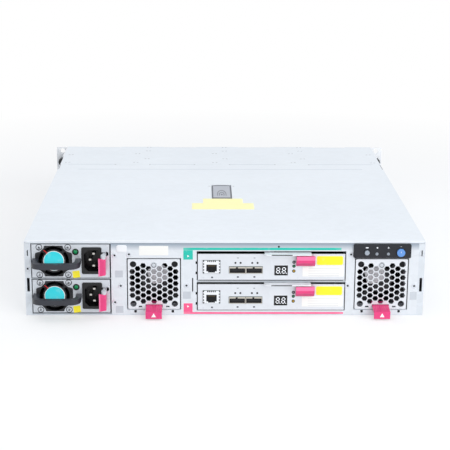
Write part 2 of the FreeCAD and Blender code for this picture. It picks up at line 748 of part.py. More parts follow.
psu_left = psu_bay_left + s.psu_side_gap
psu_floors = [s.psu_floor + psu_pitch, s.psu_floor]
fan_x = s.psu_fan_from_left
fan_z = s.psu_height / 2
inlet_z = s.psu_height / 2 + s.inlet_lift
lever_z = s.psu_height / 2 - s.psu_lever_drop
psu_plug_left = s.psu_width - s.psu_plug_width - 6.6
psu_plug_floor = 12


def inlet_outline(inset):
    """The inlet's upright rectangle, smaller all round by an inset."""
    half_width = s.inlet_width / 2 - inset
    half_height = s.inlet_height / 2 - inset
    x = s.inlet_from_left
    return rect(x - half_width, inlet_z - half_height, x + half_width, inlet_z + half_height)


def psu_case():
    """The sheet metal case, open toward the drives behind a connector edge."""
    case = Piece("PsuCase")
    wall = s.psu_wall
    case.pad("XZ", 0, s.psu_depth, rect(0, 0, s.psu_width, s.psu_height))
    case.pocket("XZ", wall, s.psu_depth - wall * 2,
                rect(wall, wall, s.psu_width - wall, s.psu_height - wall))
    slot_left = s.psu_lever_from_left - s.psu_lever_sheet / 2 - 1.3
    slot_right = s.psu_lever_from_left + s.psu_lever_sheet / 2 + 0.5
    half_slot = s.psu_lever_height / 2 + 0.6
    catch_left = slot_right + 0.8
    catch_right = catch_left + 2.6
    case.pocket("XZ", 0, wall,
                disc(fan_x, fan_z, s.psu_fan_duct + 0.2),
                inlet_outline(s.inlet_lip - 0.5),
                disc(s.psu_lamp_from_left, s.psu_lamp_height, s.psu_lamp_hole),
                rect(slot_left, lever_z - half_slot, slot_right, lever_z + half_slot),
                [(catch_left, lever_z + 7), (catch_right, lever_z + 8),
                 (catch_right, lever_z + 11.4), (catch_left, lever_z + 12.4)])
    case.pad("XZ", s.psu_depth, s.psu_plug_reach,
             rect(psu_plug_left, psu_plug_floor, psu_plug_left + s.psu_plug_width,
                  psu_plug_floor + s.board_sheet))
    return case


def psu_fan_frame():
    """A square frame with a round duct, and a motor seat held by four slanting struts."""
    frame = Piece("PsuFanFrame")
    half = s.psu_fan_frame / 2
    start = s.psu_wall
    frame.pad("XZ", start, s.psu_fan_depth,
              rect(fan_x - half, fan_z - half, fan_x + half, fan_z + half),
              many_sided(fan_x, fan_z, s.psu_fan_duct))
    for slope in (1, -1):
        frame.pad("XZ", start, s.psu_fan_strut,
                  strut(s.psu_fan_duct + 0.3, s.psu_fan_strut, slope, fan_x, fan_z))
    frame.pad("XZ", start, s.psu_fan_strut + 1, many_sided(fan_x, fan_z, s.psu_fan_hub))
    return frame


def fan_rotor(name, hub, tip, start, depth, blades):
    """A hub with blades set at a pitch, all trimmed round at the tips."""
    rotor = Piece(name)
    chord = depth * 1.1
    half = s.blade_thickness / 2
    section = draw(rotor.body, "YZ", hub - 2, [rect(-chord / 2, -half, chord / 2, half)])
    bind(section, "AttachmentOffset.Base.x", start + depth / 2)
    bind(section, "AttachmentOffset.Rotation.Angle", s.blade_pitch)
    blade = rotor.feature("Pad", "Blade")
    blade.Profile = section
    bind(blade, "Length", tip - hub + 3)
    rotor.tip(blade)
    rotor.spin(blade, "Y", blades)
    rotor.pocket("XZ", start - depth, depth * 3,
                 many_sided(0, 0, tip, 28), many_sided(0, 0, tip + 8, 28))
    rotor.pad("XZ", start, depth, many_sided(0, 0, hub))
    return rotor


def psu_inlet():
    """A three-pin appliance inlet standing on end, two of its socket corners cut off."""
    inlet = Piece("PsuInlet")
    x = s.inlet_from_left
    inlet.pad("XZ", -s.inlet_proud, s.inlet_proud, inlet_outline(0))
    inlet.soften("Fillet", 2, along("Y"))
    inlet.pad("XZ", 0, s.inlet_depth, inlet_outline(s.inlet_lip))
    w = s.socket_width / 2
    t = s.socket_height / 2
    c = s.socket_chamfer
    inlet.pocket("XZ", -s.inlet_proud, s.socket_depth,
                 [(x - w + c, inlet_z - t), (x + w, inlet_z - t), (x + w, inlet_z + t),
                  (x - w + c, inlet_z + t), (x - w, inlet_z + t - c), (x - w, inlet_z - t + c)])
    floor = s.socket_depth - s.inlet_proud
    half_width = s.pin_width / 2
    half_thickness = s.pin_thickness / 2
    pins = []
    for dx, dz in ((-s.pin_offset, 0), (s.pin_offset, s.pin_spacing / 2),
                   (s.pin_offset, -s.pin_spacing / 2)):
        pins.append(rect(x + dx - half_width, inlet_z + dz - half_thickness,
                         x + dx + half_width, inlet_z + dz + half_thickness))
    inlet.pad("XZ", floor - s.pin_reach, s.pin_reach, *pins)
    return inlet


def psu_grip():
    """The bail that the power supply is pulled out by."""
    grip = Piece("PsuGrip")
    bar = s.grip_bar
    inner = -s.grip_reach + bar
    grip.pad("XY", s.grip_height - bar / 2, bar,
             [(s.grip_left, 0), (s.grip_left, -s.grip_reach), (s.grip_right, -s.grip_reach),
              (s.grip_right, 0), (s.grip_right - bar, 0), (s.grip_right - bar, inner),
              (s.grip_left + bar, inner), (s.grip_left + bar, 0)])
    grip.soften("Fillet", s.grip_bend, along("Z", lambda p: near(p.y, -s.grip_reach)))
    grip.soften("Fillet", s.grip_bend - 5, along("Z", lambda p: near(p.y, inner)))
    return grip


def psu_lever():
    """The release lever: a thick finger plate outside and a flat stem on its pivot inside."""
    lever = Piece("PsuLever")
    x = s.psu_lever_from_left
    low = lever_z - s.psu_lever_height / 2
    high = lever_z + s.psu_lever_height / 2
    half_sheet = s.psu_lever_sheet / 2
    half_grip = s.psu_lever_grip / 2
    tip = -s.psu_lever_reach
    lever.pad("XZ", tip, s.psu_lever_reach + s.psu_lever_pivot + s.psu_lever_stem,
              rect(x - half_sheet, low, x + half_sheet, high))
    lever.pad("XZ", tip, s.psu_lever_grip_length, rect(x - half_grip, low, x + half_grip, high))
    lever.soften("Fillet", half_grip - 0.2, along("Z", lambda p: near(p.y, tip)))
    return lever


def power_supplies():
    """Two alike: each a case with its fan, inlet, bail, release lever and lamp."""
    case = psu_case()
    frame = psu_fan_frame()
    rotor = fan_rotor("PsuFanRotor", s.psu_fan_hub, s.psu_fan_duct - s.blade_gap,
                      s.psu_wall + s.psu_fan_strut + 2, s.psu_fan_depth - 10, s.psu_blades)
    place(rotor.body, fan_x, 0, fan_z)
    inlet = psu_inlet()
    grip = psu_grip()
    lever = psu_lever()
    lens = s.psu_lamp_hole + 1
    lamp = block(s.psu_lamp_from_left - lens, s.psu_wall, s.psu_lamp_height - lens,
                 lens * 2, 1, lens * 2)
    for index, floor in enumerate(psu_floors, start=1):
        seat = (psu_left, rear, floor)
        group(f"psu{index}_case", [case, lamp], *seat)
        group(f"psu{index}_fan_frame", [frame], *seat)
        group(f"psu{index}_fan_rotor", [rotor], *seat)
        group(f"psu{index}_inlet", [inlet], *seat)
        group(f"psu{index}_handle", [grip], *seat)
        group(f"psu{index}_release_lever", [lever], *seat)


# ---------------------------------------------------------------- fan modules

tongue_floor = -s.fan_face / 2 + s.tab_floor


def fan_case():
    """A square shell whose front is a honeycomb grille between four screw holes."""
    case = Piece("FanCase")
    half = s.fan_face / 2
    face = s.fan_grille
    wall = s.fan_wall
    spread = s.grille_screw_spacing / 2
    half_tab = s.tab_width / 2 + 0.6
    vents = [rect(x - 2, tongue_floor - 0.9, x + 2, tongue_floor + 1)
             for x in (-s.grille_vent_spread, s.grille_vent_spread)]
    case.pad("XZ", 0, s.fan_module_depth, rect(-half, -half, half, half))
    case.soften("Chamfer", 0.8, along("Y"))
    case.pocket("XZ", face, s.fan_module_depth,
                rect(-half + wall, -half + wall, half - wall, half - wall))
    case.pocket("XZ", 0, face,
                rect(-half_tab, tongue_floor - s.tab_play, half_tab,
                     tongue_floor + s.tab_sheet + s.tab_play),
                *vents,
                *[disc(x, z, s.grille_screw_hole) for x in (-spread, spread)
                  for z in (-spread, spread)])
    flats = s.hex_pitch - s.hex_wall
    column = s.hex_pitch * math.sqrt(3) / 2
    for first, columns, low, rows in ((-2, 3, -3, 7), (-3, 4, -2.5, 6), (-4, 2, -2, 5)):
        step = 8 if columns == 2 else 2
        cell = case.pocket("XZ", 0, face,
                           hexagon(column * first, s.grille_lift + s.hex_pitch * low, flats))
        case.repeat(cell, ("X", column * step, columns), ("Z", s.hex_pitch, rows))
    return case


def fan_frame():
    """The fan's own frame: a square block with a round duct and a strutted motor seat."""
    frame = Piece("FanFrame")
    half = s.fan_face / 2 - s.fan_wall - 0.2
    start = s.fan_grille + s.fan_frame_setback
    frame.pad("XZ", start, s.fan_frame_depth, rect(-half, -half, half, half),
              many_sided(0, 0, s.fan_duct))
    for slope in (1, -1):
        frame.pad("XZ", start, s.fan_strut, strut(s.fan_duct + 0.4, s.fan_strut, slope))
    frame.pad("XZ", start, s.fan_strut * 2, many_sided(0, 0, s.fan_hub))
    return frame


def strut(reach, width, slope, x=0, z=0):
    """A bar through a fan's middle at 45 degrees, rising with `slope` 1 or falling with -1."""
    far = reach * math.sqrt(0.5)
    side = width / 2 * math.sqrt(0.5)
    return [(x - far - side, z + slope * (side - far)), (x - far + side, z - slope * (side + far)),
            (x + far + side, z + slope * (far - side)), (x + far - side, z + slope * (far + side))]


def fan_tab():
    """The release tab: a sloping tongue, its turned-down lip and the spring arm inside."""
    tab = Piece("FanTab")
    low = tongue_floor
    sheet_top = low + s.tab_sheet
    lip_top = sheet_top - s.tab_drop
    tip = -s.tab_reach
    tab.pad("YZ", -s.tab_width / 2, s.tab_width,
            [(tip, lip_top - s.tab_lip), (tip + s.tab_sheet, lip_top - s.tab_lip),
             (tip + s.tab_sheet, lip_top - s.tab_sheet), (0, low), (s.tab_arm, low),
             (s.tab_arm, sheet_top), (0, sheet_top), (tip, lip_top)])
    return tab


def fan_modules():
    """Two alike: each a grilled shell with a fan behind it and a release tab below."""
    case = fan_case()
    frame = fan_frame()
    rotor = fan_rotor("FanRotor", s.fan_hub - 0.4, s.fan_duct - s.blade_gap,
                      s.fan_grille + s.fan_frame_setback + s.fan_strut * 2 + 1,
                      s.fan_rotor_depth, s.fan_blades)
    tab = fan_tab()
    for index, x in enumerate(fan_centers, start=1):
        seat = (x, rear, s.fan_center_height)
        group(f"fan{index}_case", [case], *seat)
        group(f"fan{index}_frame", [frame], *seat)
        group(f"fan{index}_rotor", [rotor], *seat)
        group(f"fan{index}_release_tab", [tab], *seat)


# ---------------------------------------------------------------- input and output modules

io_left = io_bay_left + s.io_side_gap
io_floors = [io_shelf_top + s.io_floor_gap, s.io_bay_floor + s.io_floor_gap]
io_lamp_heights = (s.io_lamp_low, s.io_lamp_mid, s.io_lamp_high)
io_plug_floor = s.board_height + s.board_sheet
io_plugs = ((20.6, 58.8), (90.6, 38.8))
port_floor = s.jack_floor


def around(left_edge, floor, width, height, gap):
    """A rectangle given by its corner and size, larger all round by a gap."""
    return rect(left_edge - gap, floor - gap, left_edge + width + gap, floor + height + gap)


def io_case():
    """The module's tray: a pierced face, a floor and two side walls."""
    case = Piece("IoCase")
    wall = s.io_wall
    side_top = s.io_height - s.io_wall_drop
    half_lamp = s.io_lamp_hole / 2
    case.pad("XZ", 0, s.io_face, rect(0, 0, s.io_width, s.io_height),
             around(s.jack_left, s.jack_floor, s.jack_width, s.jack_height, s.port_gap),
             around(s.port_left, port_floor, s.port_pitch + s.port_width, s.port_height, s.port_gap),
             around(s.display_left, s.display_floor, s.display_width, s.display_height, 0),
             *[rect(s.io_lamp_from_left - half_lamp, z - half_lamp,
                    s.io_lamp_from_left + half_lamp, z + half_lamp) for z in io_lamp_heights])
    case.pad("XZ", s.io_face, s.io_depth - s.io_face,
             [(0, 0), (s.io_width, 0), (s.io_width, side_top), (s.io_width - wall, side_top),
              (s.io_width - wall, wall), (wall, wall), (wall, side_top), (0, side_top)])
    return case


def io_ports(y, top):
    """The network jack and the two storage ports, each a pierced shell on a foot."""
    reach = -s.port_proud
    jack = Piece("NetworkJack")
    x = s.jack_left
    z = s.jack_floor
    jack.pad("XZ", reach, 16, around(x, z, s.jack_width, s.jack_height, 0))
    step = z + 2.4
    mouth_top = z + 10.4
    jack.pocket("XZ", reach, 12,
                [(x + 5.5, z + 1.1), (x + 13.3, z + 1.1), (x + 13.3, step), (x + 15.3, step),
                 (x + 15.3, mouth_top), (x + 3.5, mouth_top), (x + 3.5, step), (x + 5.5, step)])
    pieces = [jack, block(x, y + 2, top, s.jack_width, 11.4, z - top)]
    for index in range(2):
        x = s.port_left + s.port_pitch * index
        shell = Piece("StoragePort")
        shell.pad("XZ", reach, s.port_depth, around(x, port_floor, s.port_width, s.port_height, 0))
        shell.pocket("XZ", reach, s.port_depth - 3,
                     rect(x + s.port_wall, port_floor + 1, x + s.port_width - s.port_wall,
                          port_floor + s.port_height - 1.4))
        pieces.append(shell)
        pieces.append(block(x, y + 2, top, s.port_width, 14, port_floor - top))
    return pieces


def io_board():
    """The printed board with what is soldered to it: ports, display, lamps and connectors."""
    floor = s.board_height
    top = floor + s.board_sheet
    y = s.io_face + 0.6
    side = s.io_wall + s.board_inset
    board = block(side, y, floor, s.io_width - side * 2, s.io_depth - y - 2, s.board_sheet)
    foot = 6
    feet = [block(x, depth, s.io_wall, foot, foot, floor - s.io_wall)
            for x in (side + foot, s.io_width - side - foot * 2)
            for depth in (20, s.io_depth / 2, s.io_depth - 26)]
    display = block(s.display_left + 0.3, 0.6, s.display_floor + 0.3, s.display_width - 0.6, 4,
                    s.display_height - 0.6)
    display_foot = block(s.display_left + 2.2, y + 0.2, top, 10, 2, s.display_floor + 0.3 - top)
    lamps = [block(s.io_lamp_from_left - 1, 0.2, z - 1, 2, 3, 2) for z in io_lamp_heights]
    lamp_post = block(s.io_lamp_from_left - 1.8, 3.2, top, 3.6, 3, s.io_lamp_high + 1.7 - top)
    plug_start = s.io_depth - s.io_leg_width - 2
    plug_length = s.plug_overhang + s.io_leg_width + 2
    plugs = [block(x, plug_start, top, width, plug_length, s.plug_height) for x, width in io_plugs]
    sink_left = 56
    sink_start = 150
    sink_size = 44
    sink = block(sink_left, sink_start, top, sink_size, sink_size, 4)
    fins = [block(sink_left + 6 * index, sink_start, top + 4, 2, sink_size, 12)
            for index in range(8)]
    return [board, display, display_foot, lamp_post, fuse(sink, *fins)] + feet \
        + io_ports(y, top) + lamps + plugs


def io_lever():
    """The ejector: a flat strip above the module's face, pivoted near its left end."""
    lever = Piece("IoLever")
    start = s.io_lever_left
    z = s.io_height + s.io_lever_gap
    slot_start = start + 6
    rim = s.io_lever_depth / 3
    lever.pad("XY", z, s.io_lever_sheet,
              rect(start, -s.io_lever_depth, start + s.io_lever_length, 2),
              rect(slot_start, -rim * 2, slot_start + s.io_lever_slot, -rim))
    lever.pad("XY", z, s.io_lever_sheet, rect(start, 0, start + 11, 14))
    lever.soften("Fillet", 2, along("Z", lambda p: near(p.y, -s.io_lever_depth)))
    return lever


def io_latch():
    """The spring latch that holds the free end of the ejector."""
    latch = Piece("IoLatch")
    low = s.io_latch_floor
    sheet = s.io_latch_sheet
    top = low + s.io_latch_height
    reach = -s.io_latch_reach
    elbow = low + 4.6
    start = -s.port_gap
    latch.pad("YZ", s.io_latch_left, s.io_latch_width,
              [(start, low), (start - 3.6, low), (reach, elbow), (reach, top),
               (reach + sheet, top), (reach + sheet, elbow + 0.8), (start - 2.8, low + sheet),
               (start, low + sheet)])
    return latch


def io_modules():
    """Two alike: each a tray with its board, an ejector and the latch that holds it."""
    case = io_case()
    board = io_board()
    lever = io_lever()
    latch = io_latch()
    for index, floor in enumerate(io_floors, start=1):
        seat = (io_left, rear, floor)
        group(f"io{index}_case", [case], *seat)
        group(f"io{index}_board", board, *seat)
        group(f"io{index}_ejector_lever", [lever], *seat)
        group(f"io{index}_latch", [latch], *seat)


# ---------------------------------------------------------------- drives

def disk_drives():
    """Twelve carriers, each with its disk and the flat lever on its bezel."""
    side = (carrier_width - s.disk_width) / 2
    rise = (s.disk_height - s.carrier_height) / 2
    bezel_start = s.carrier_depth - s.bezel_depth
    rail_start = 20
    carrier = Piece("DriveCarrier")
    carrier.pad("XZ", bezel_start, s.bezel_depth,
                rect(0, rise, carrier_width, rise + s.carrier_height))
    carrier.pad("XZ", rail_start, bezel_start - rail_start,
                rect(0, rise, side, rise + s.carrier_height),
                rect(carrier_width - side, rise, carrier_width, rise + s.carrier_height))
    disk = Piece("Disk")
    disk_start = 2
    disk.pad("XZ", disk_start, s.disk_depth, rect(side, 0, side + s.disk_width, s.disk_height))
    disk.pocket("XZ", disk_start, 6, rect(side + 12, -1, side + 50, 7))
    lever = Piece("DriveLever")
    margin = s.drive_lever_margin
    low = (s.disk_height - s.drive_lever_height) / 2 + 2.85
    finger_right = carrier_width - 15
    lever.pad("XZ", s.carrier_depth, s.drive_lever_sheet,
              rect(margin, low, carrier_width - margin, low + s.drive_lever_height))
    lever.soften("Chamfer", 1.6, along("Y"))
    lever.pocket("XZ", s.carrier_depth + s.drive_lever_sheet / 2, 2,
                 rect(finger_right - 30, low + 2.6, finger_right, low + 14.6))
    count = 0
    for column in range(int(SIZES["drive_columns"])):
        for row_index in range(int(SIZES["drive_rows"])):
            count += 1
            x = column_pitch * (column - 2) + (column_pitch - carrier_width) / 2
            z = s.drive_floor + s.row_pitch * row_index
            group(f"drive_{count:02d}", [carrier, disk, lever], x, drive_back, z)


# ---------------------------------------------------------------- build

def build():
    chassis_tray()
    rear_panel()
    psu_cage()
    fan_sleeves()
    io_cage()
    drive_cage()
    front_top_plate()
    midplane_board()
    midplane_connectors()
    power_board()
    bus_bars()
    rack_ear("rack_ear_left", -1)
    rack_ear("rack_ear_right", 1)
    rack_knobs()
    status_panel()
    status_lights()
    push_button("unit_id_button", id_button_x, s.id_button)
    push_button("power_button", power_button_x, s.power_button)
    top_cover()
    cover_latch()
    power_supplies()
    fan_modules()
    io_modules()
    disk_drives()


def check_and_write():
    """Stops on any failed object, then writes one file for each sub-part."""
    for item in doc.Objects:
        if "Invalid" in item.State or "Error" in item.State:
            raise RuntimeError(f"{item.Label} failed: {item.State}")
    for item in nodes:
        if item.Shape.isNull() or not item.Shape.isValid():
            raise RuntimeError(f"{item.Label} has no valid shape")
    os.makedirs("parts", exist_ok=True)
    for item in nodes:
        item.Shape.exportStep(f"parts/{item.Label}.step")
    print(len(nodes), "sub-parts written")


build()
doc.recompute()
check_and_write()
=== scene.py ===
import bmesh
import bpy
import math
import numpy as np
from mathutils import Matrix, Vector


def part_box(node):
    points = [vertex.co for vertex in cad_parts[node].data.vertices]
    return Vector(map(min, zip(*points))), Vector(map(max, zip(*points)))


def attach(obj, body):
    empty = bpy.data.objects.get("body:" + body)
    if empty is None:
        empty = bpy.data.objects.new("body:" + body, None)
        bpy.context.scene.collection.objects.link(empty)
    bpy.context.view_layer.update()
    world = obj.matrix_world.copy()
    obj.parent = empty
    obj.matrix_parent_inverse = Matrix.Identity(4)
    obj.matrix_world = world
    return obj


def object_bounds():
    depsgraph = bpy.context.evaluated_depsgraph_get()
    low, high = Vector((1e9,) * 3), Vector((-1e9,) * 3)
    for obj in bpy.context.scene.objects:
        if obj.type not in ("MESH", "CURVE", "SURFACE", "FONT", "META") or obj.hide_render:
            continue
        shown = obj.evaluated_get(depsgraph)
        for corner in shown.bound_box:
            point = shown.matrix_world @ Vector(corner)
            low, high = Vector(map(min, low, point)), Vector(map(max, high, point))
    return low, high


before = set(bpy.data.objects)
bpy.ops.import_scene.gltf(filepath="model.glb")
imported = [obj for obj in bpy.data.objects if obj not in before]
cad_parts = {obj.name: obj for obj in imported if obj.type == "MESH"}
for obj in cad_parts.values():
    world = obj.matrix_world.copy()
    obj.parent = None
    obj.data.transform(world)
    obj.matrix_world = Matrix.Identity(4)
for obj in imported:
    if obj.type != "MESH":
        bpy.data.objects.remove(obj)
cad_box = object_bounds()

# ---------------------------------------------------------------- view, floor and light
# The shelf is looked at from its service side, a little from above, through a long lens.
# It stands on a pale table under a broad soft light, before a white wall.

mm = 0.001
rear_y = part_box("rear_panel")[0].y
deck_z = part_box("top_cover")[1].z

eye = Vector((-25.9, -1660.1, 490.5)) * mm
pitch_down = 0.2671
yaw = 0.0181
roll = 0.0059

forward = Vector((math.sin(yaw) * math.cos(pitch_down), math.cos(yaw) * math.cos(pitch_down),
                  -math.sin(pitch_down)))
level = Vector((math.cos(yaw), -math.sin(yaw), 0))
upward = level.cross(forward)
sideways = level * math.cos(roll) + upward * math.sin(roll)
upward = sideways.cross(forward)

camera = bpy.data.objects.new("service_camera", bpy.data.cameras.new("service_camera"))
bpy.context.scene.collection.objects.link(camera)
camera.matrix_world = Matrix((
    (sideways.x, upward.x, -forward.x, eye.x),
    (sideways.y, upward.y, -forward.y, eye.y),
    (sideways.z, upward.z, -forward.z, eye.z),
    (0, 0, 0, 1),
))
camera.data.sensor_width = 36
camera.data.lens = 105.08
camera.data.clip_end = 60
bpy.context.scene.camera = camera
bpy.context.scene.view_settings.view_transform = "Standard"


def paint(red, green, blue):
    """Linear colour of a display colour given as three numbers from 0 to 255: c below 0.04045
    is divided by 12.92, and above it ((c + 0.055) / 1.055) is raised to 2.4."""
    shares = np.array((red, green, blue)) / 255
    linear = np.where(shares < 0.04045, shares / 12.92, ((shares + 0.055) / 1.055) ** 2.4)
    return (*linear.tolist(), 1.0)


def add(tree, kind, **settings):
    """A node of a tree. A setting in small letters is the node's own, `at0` is its first input,
    and a capitalised one is the input of that name. A socket given as a value is linked."""
    node = tree.nodes.new("ShaderNode" + kind)
    for name, value in settings.items():
        if name[:2] == "at" and name[2:].isdigit():
            socket = node.inputs[int(name[2:])]
        elif name[0].islower():
            setattr(node, name, value)
            continue
        else:
            socket = node.inputs[name.replace("_", " ")]
        if isinstance(value, bpy.types.NodeSocket):
            tree.links.new(value, socket)
        else:
            socket.default_value = value
    return node


def math_of(tree, operation, first, second=0.0):
    """One sum worked out on two sockets or numbers."""
    return add(tree, "Math", operation=operation, at0=first, at1=second).outputs[0]


def vector_of(tree, operation, first, second=(0, 0, 0)):
    """One sum worked out on two sockets or points."""
    return add(tree, "VectorMath", operation=operation, at0=first, at1=second).outputs


def mixed(tree, share, first, second):
    """A colour between two, by a share from 0 to 1."""
    return add(tree, "Mix", data_type="RGBA", at0=share, at6=first, at7=second).outputs[2]


def ramp(tree, value, *stops):
    """A value or a colour read off stops of (place, colour), with straight runs between."""
    node = add(tree, "ValToRGB", at0=value)
    places = node.color_ramp.elements
    while len(places) < len(stops):
        places.new(0.5)
    for element, (place, colour) in zip(places, stops):
        element.position = place
        element.color = colour if isinstance(colour, tuple) else (colour, colour, colour, 1)
    return node.outputs[0]


def place_of(tree):
    """Where on its object a point is shaded."""
    return add(tree, "TexCoord").outputs["Object"]


def bumped(tree, shader, height, strength, distance):
    """Gives a shader relief from a height, over a distance in millimetres."""
    relief = add(tree, "Bump", Strength=strength, Distance=distance * mm, Height=height).outputs[0]
    tree.links.new(relief, shader.inputs["Normal"])


def surface(name):
    """A new material: its tree and its Principled shader."""
    material = bpy.data.materials.new(name)
    material.use_nodes = True
    return material, material.node_tree, material.node_tree.nodes["Principled BSDF"]


def seen_straight(tree):
    """1 for a ray from the eye, a mirror or glass, and 0 for a ray that gathers light."""
    path = add(tree, "LightPath").outputs
    straight = math_of(tree, "MAXIMUM", path["Is Camera Ray"], path["Is Glossy Ray"])
    return math_of(tree, "MAXIMUM", straight, path["Is Transmission Ray"])


def table_top():
    """The pale table: matt and shadowed near the shelf, its shadow lightened there by painted light,
    and as white as the wall far away.
    """
    material, tree, shader = surface("pale_table")
    place = place_of(tree)
    cloud = add(tree, "TexNoise", Vector=place, Scale=3.0, Detail=3.0).outputs["Fac"]
    tint = ramp(tree, cloud, (0.3, paint(248, 250, 253)), (0.7, paint(251, 252, 254)))
    tree.links.new(tint, shader.inputs["Base Color"])
    shader.inputs["Roughness"].default_value = 0.75
    shader.inputs["Specular IOR Level"].default_value = 0.2
    reach = vector_of(tree, "LENGTH", place)["Value"]
    # Four tenths of a white glow seen only by the eye lies on the table even near the shelf: painted
    # light that lightens its shadow. Far away the table is all glow, as white as the wall.
    far = add(tree, "MapRange", Value=reach, From_Min=0.5, From_Max=1.05, To_Min=0.4).outputs[0]
    glow = add(tree, "Emission", Color=(1, 1, 1, 1), Strength=seen_straight(tree)).outputs[0]
    both = add(tree, "MixShader", at0=far, at1=shader.outputs[0], at2=glow).outputs[0]
    tree.links.new(both, tree.nodes["Material Output"].inputs["Surface"])
    return material


def table():
    """A level square, its height zero at every point."""
    half = 14
    mesh = bpy.data.meshes.new("table")
    mesh.from_pydata([(-half, -half, 0), (half, -half, 0), (half, half, 0), (-half, half, 0)],
                     [], [(0, 1, 2, 3)])
    mesh.materials.append(table_top())
    top = bpy.data.objects.new("table", mesh)
    bpy.context.scene.collection.objects.link(top)
    top.location.z = min(0.0, cad_box[0][2]) - 0.2 * mm


def soft_lamp(name, place, aim, width, power):
    """A square soft lamp that faces a point."""
    lamp = bpy.data.objects.new(name, bpy.data.lights.new(name, "AREA"))
    bpy.context.scene.collection.objects.link(lamp)
    lamp.data.size = width
    lamp.data.energy = power
    lamp.location = place
    lamp.visible_glossy = False
    lamp.rotation_euler = (Vector(aim) - Vector(place)).to_track_quat("-Z", "Y").to_euler()


def white_wall():
    """The room: white where it is seen, and a soft even light on everything else."""
    room = bpy.data.worlds.new("white_room")
    room.use_nodes = True
    tree = room.node_tree
    straight = seen_straight(tree)
    strength = add(tree, "MapRange", Value=straight, To_Min=0.66, To_Max=1.0).outputs[0]
    background = tree.nodes["Background"]
    background.inputs["Color"].default_value = (0.97, 0.985, 1.0, 1)
    tree.links.new(strength, background.inputs["Strength"])
    bpy.context.scene.world = room


table()
white_wall()
soft_lamp("over_lamp", (-0.5, -0.5, 2.4), (0, 0, 0), width=2.4, power=17)
soft_lamp("service_lamp", (1.1, -2.0, 0.8), (0.05, -0.2, 0.05), width=1.6, power=26)
soft_lamp("side_lamp", (1.5, -1.3, 0.6), (0.2, -0.25, 0.04), width=0.7, power=7)

# ---------------------------------------------------------------- chassis sheet metal
# Tray, rear panel, cages and ears are folded from zinc-coated steel sheet, punched flat,
# bent and riveted. The zinc leaves faint crystals, rolling lines and dull rubbed places.


def group_of(name, inputs):
    """An empty finish: a shader group with named inputs that gives colour, roughness and height.
    Returns its tree, its inputs and its output node."""
    tree = bpy.data.node_groups.new(name, "ShaderNodeTree")
    kinds = {"Colour": "NodeSocketColor"}
    for label, start in inputs.items():
        kind = kinds.get(label, "NodeSocketFloat")
        tree.interface.new_socket(label, in_out="INPUT", socket_type=kind).default_value = start
    for label in ("Colour", "Roughness", "Height"):
        kind = kinds.get(label, "NodeSocketFloat")
        tree.interface.new_socket(label, in_out="OUTPUT", socket_type=kind)
    return tree, tree.nodes.new("NodeGroupInput").outputs, tree.nodes.new("NodeGroupOutput").inputs


def zinc_finish():
    """Crystals a few millimetres wide, fine lines along X and cloudy rubbed places."""
    tree, given, result = group_of("zinc_finish", {"Colour": (0.8, 0.8, 0.8, 1), "Roughness": 0.4,
                                                   "Crystals": 0.04, "Rubbing": 0.1})
    place = place_of(tree)
    warp = add(tree, "TexNoise", Vector=place, Scale=60.0, Detail=2.0).outputs["Color"]
    bent = add(tree, "Mix", data_type="VECTOR", at0=0.012, at4=place, at5=warp).outputs[1]
    crystal = add(tree, "TexVoronoi", Vector=bent, Scale=150.0).outputs["Color"]
    crystal = add(tree, "SeparateColor", Color=crystal).outputs[0]
    lined = add(tree, "Mapping", Vector=place, Scale=(6, 900, 900)).outputs[0]
    lines = add(tree, "TexNoise", Vector=lined, Scale=1.0, Detail=4.0).outputs["Fac"]
    cloud = add(tree, "TexNoise", Vector=place, Scale=7.0, Detail=6.0, Roughness=0.62).outputs["Fac"]
    rubbed = ramp(tree, cloud, (0.42, 0.0), (0.72, 1.0))
    shade = math_of(tree, "MULTIPLY", math_of(tree, "SUBTRACT", crystal, 0.5), given["Crystals"])
    dull = math_of(tree, "MULTIPLY", rubbed, given["Rubbing"])
    value = math_of(tree, "SUBTRACT", math_of(tree, "ADD", shade, 1.0),
                    math_of(tree, "MULTIPLY", dull, 0.35))
    tone = add(tree, "HueSaturation", Value=value, Color=given["Colour"]).outputs[0]
    rough = math_of(tree, "ADD", given["Roughness"], math_of(tree, "MULTIPLY", shade, 1.6))
    rough = math_of(tree, "ADD", rough, dull)
    grain = math_of(tree, "ADD", math_of(tree, "MULTIPLY", lines, 0.6),
                    math_of(tree, "MULTIPLY", crystal, 0.25))
    tree.links.new(tone, result["Colour"])
    tree.links.new(rough, result["Roughness"])
    tree.links.new(grain, result["Height"])
    return tree


zinc = zinc_finish()


def plated(colour, roughness, crystals=0.05, rubbing=0.1):
    """The zinc finish in one tone: its group and what goes into it."""
    return zinc, {"Colour": paint(*colour), "Roughness": roughness, "Crystals": crystals,
                  "Rubbing": rubbing}


def dressed(name, finish, metallic=0.0, bump=0.2):
    """A material whose colour, roughness and bump come from a finish."""
    material, tree, shader = surface(name)
    group, values = finish
    looks = add(tree, "Group", node_tree=group, **values).outputs
    tree.links.new(looks["Colour"], shader.inputs["Base Color"])
    tree.links.new(looks["Roughness"], shader.inputs["Roughness"])
    bumped(tree, shader, looks["Height"], bump, 0.1)
    shader.inputs["Metallic"].default_value = metallic
    return material


def finish_nodes(material, *names):
    """Gives CAD nodes a material in every slot that they have."""
    for name in names:
        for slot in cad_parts[name].material_slots:
            slot.material = material


def lip_shade(material, low, high, dark):
    """Paints shade onto a sheet under the folded lip above it, a darker colour mixed in: full
    strength at the upper height, nothing at the lower one."""
    tree = material.node_tree
    shader = tree.nodes["Principled BSDF"]
    plain = shader.inputs["Base Color"].links[0].from_socket
    height = add(tree, "SeparateXYZ", at0=place_of(tree)).outputs[2]
    near = add(tree, "MapRange", Value=height, From_Min=low * mm, From_Max=high * mm).outputs[0]
    tree.links.new(mixed(tree, near, plain, dark), shader.inputs["Base Color"])


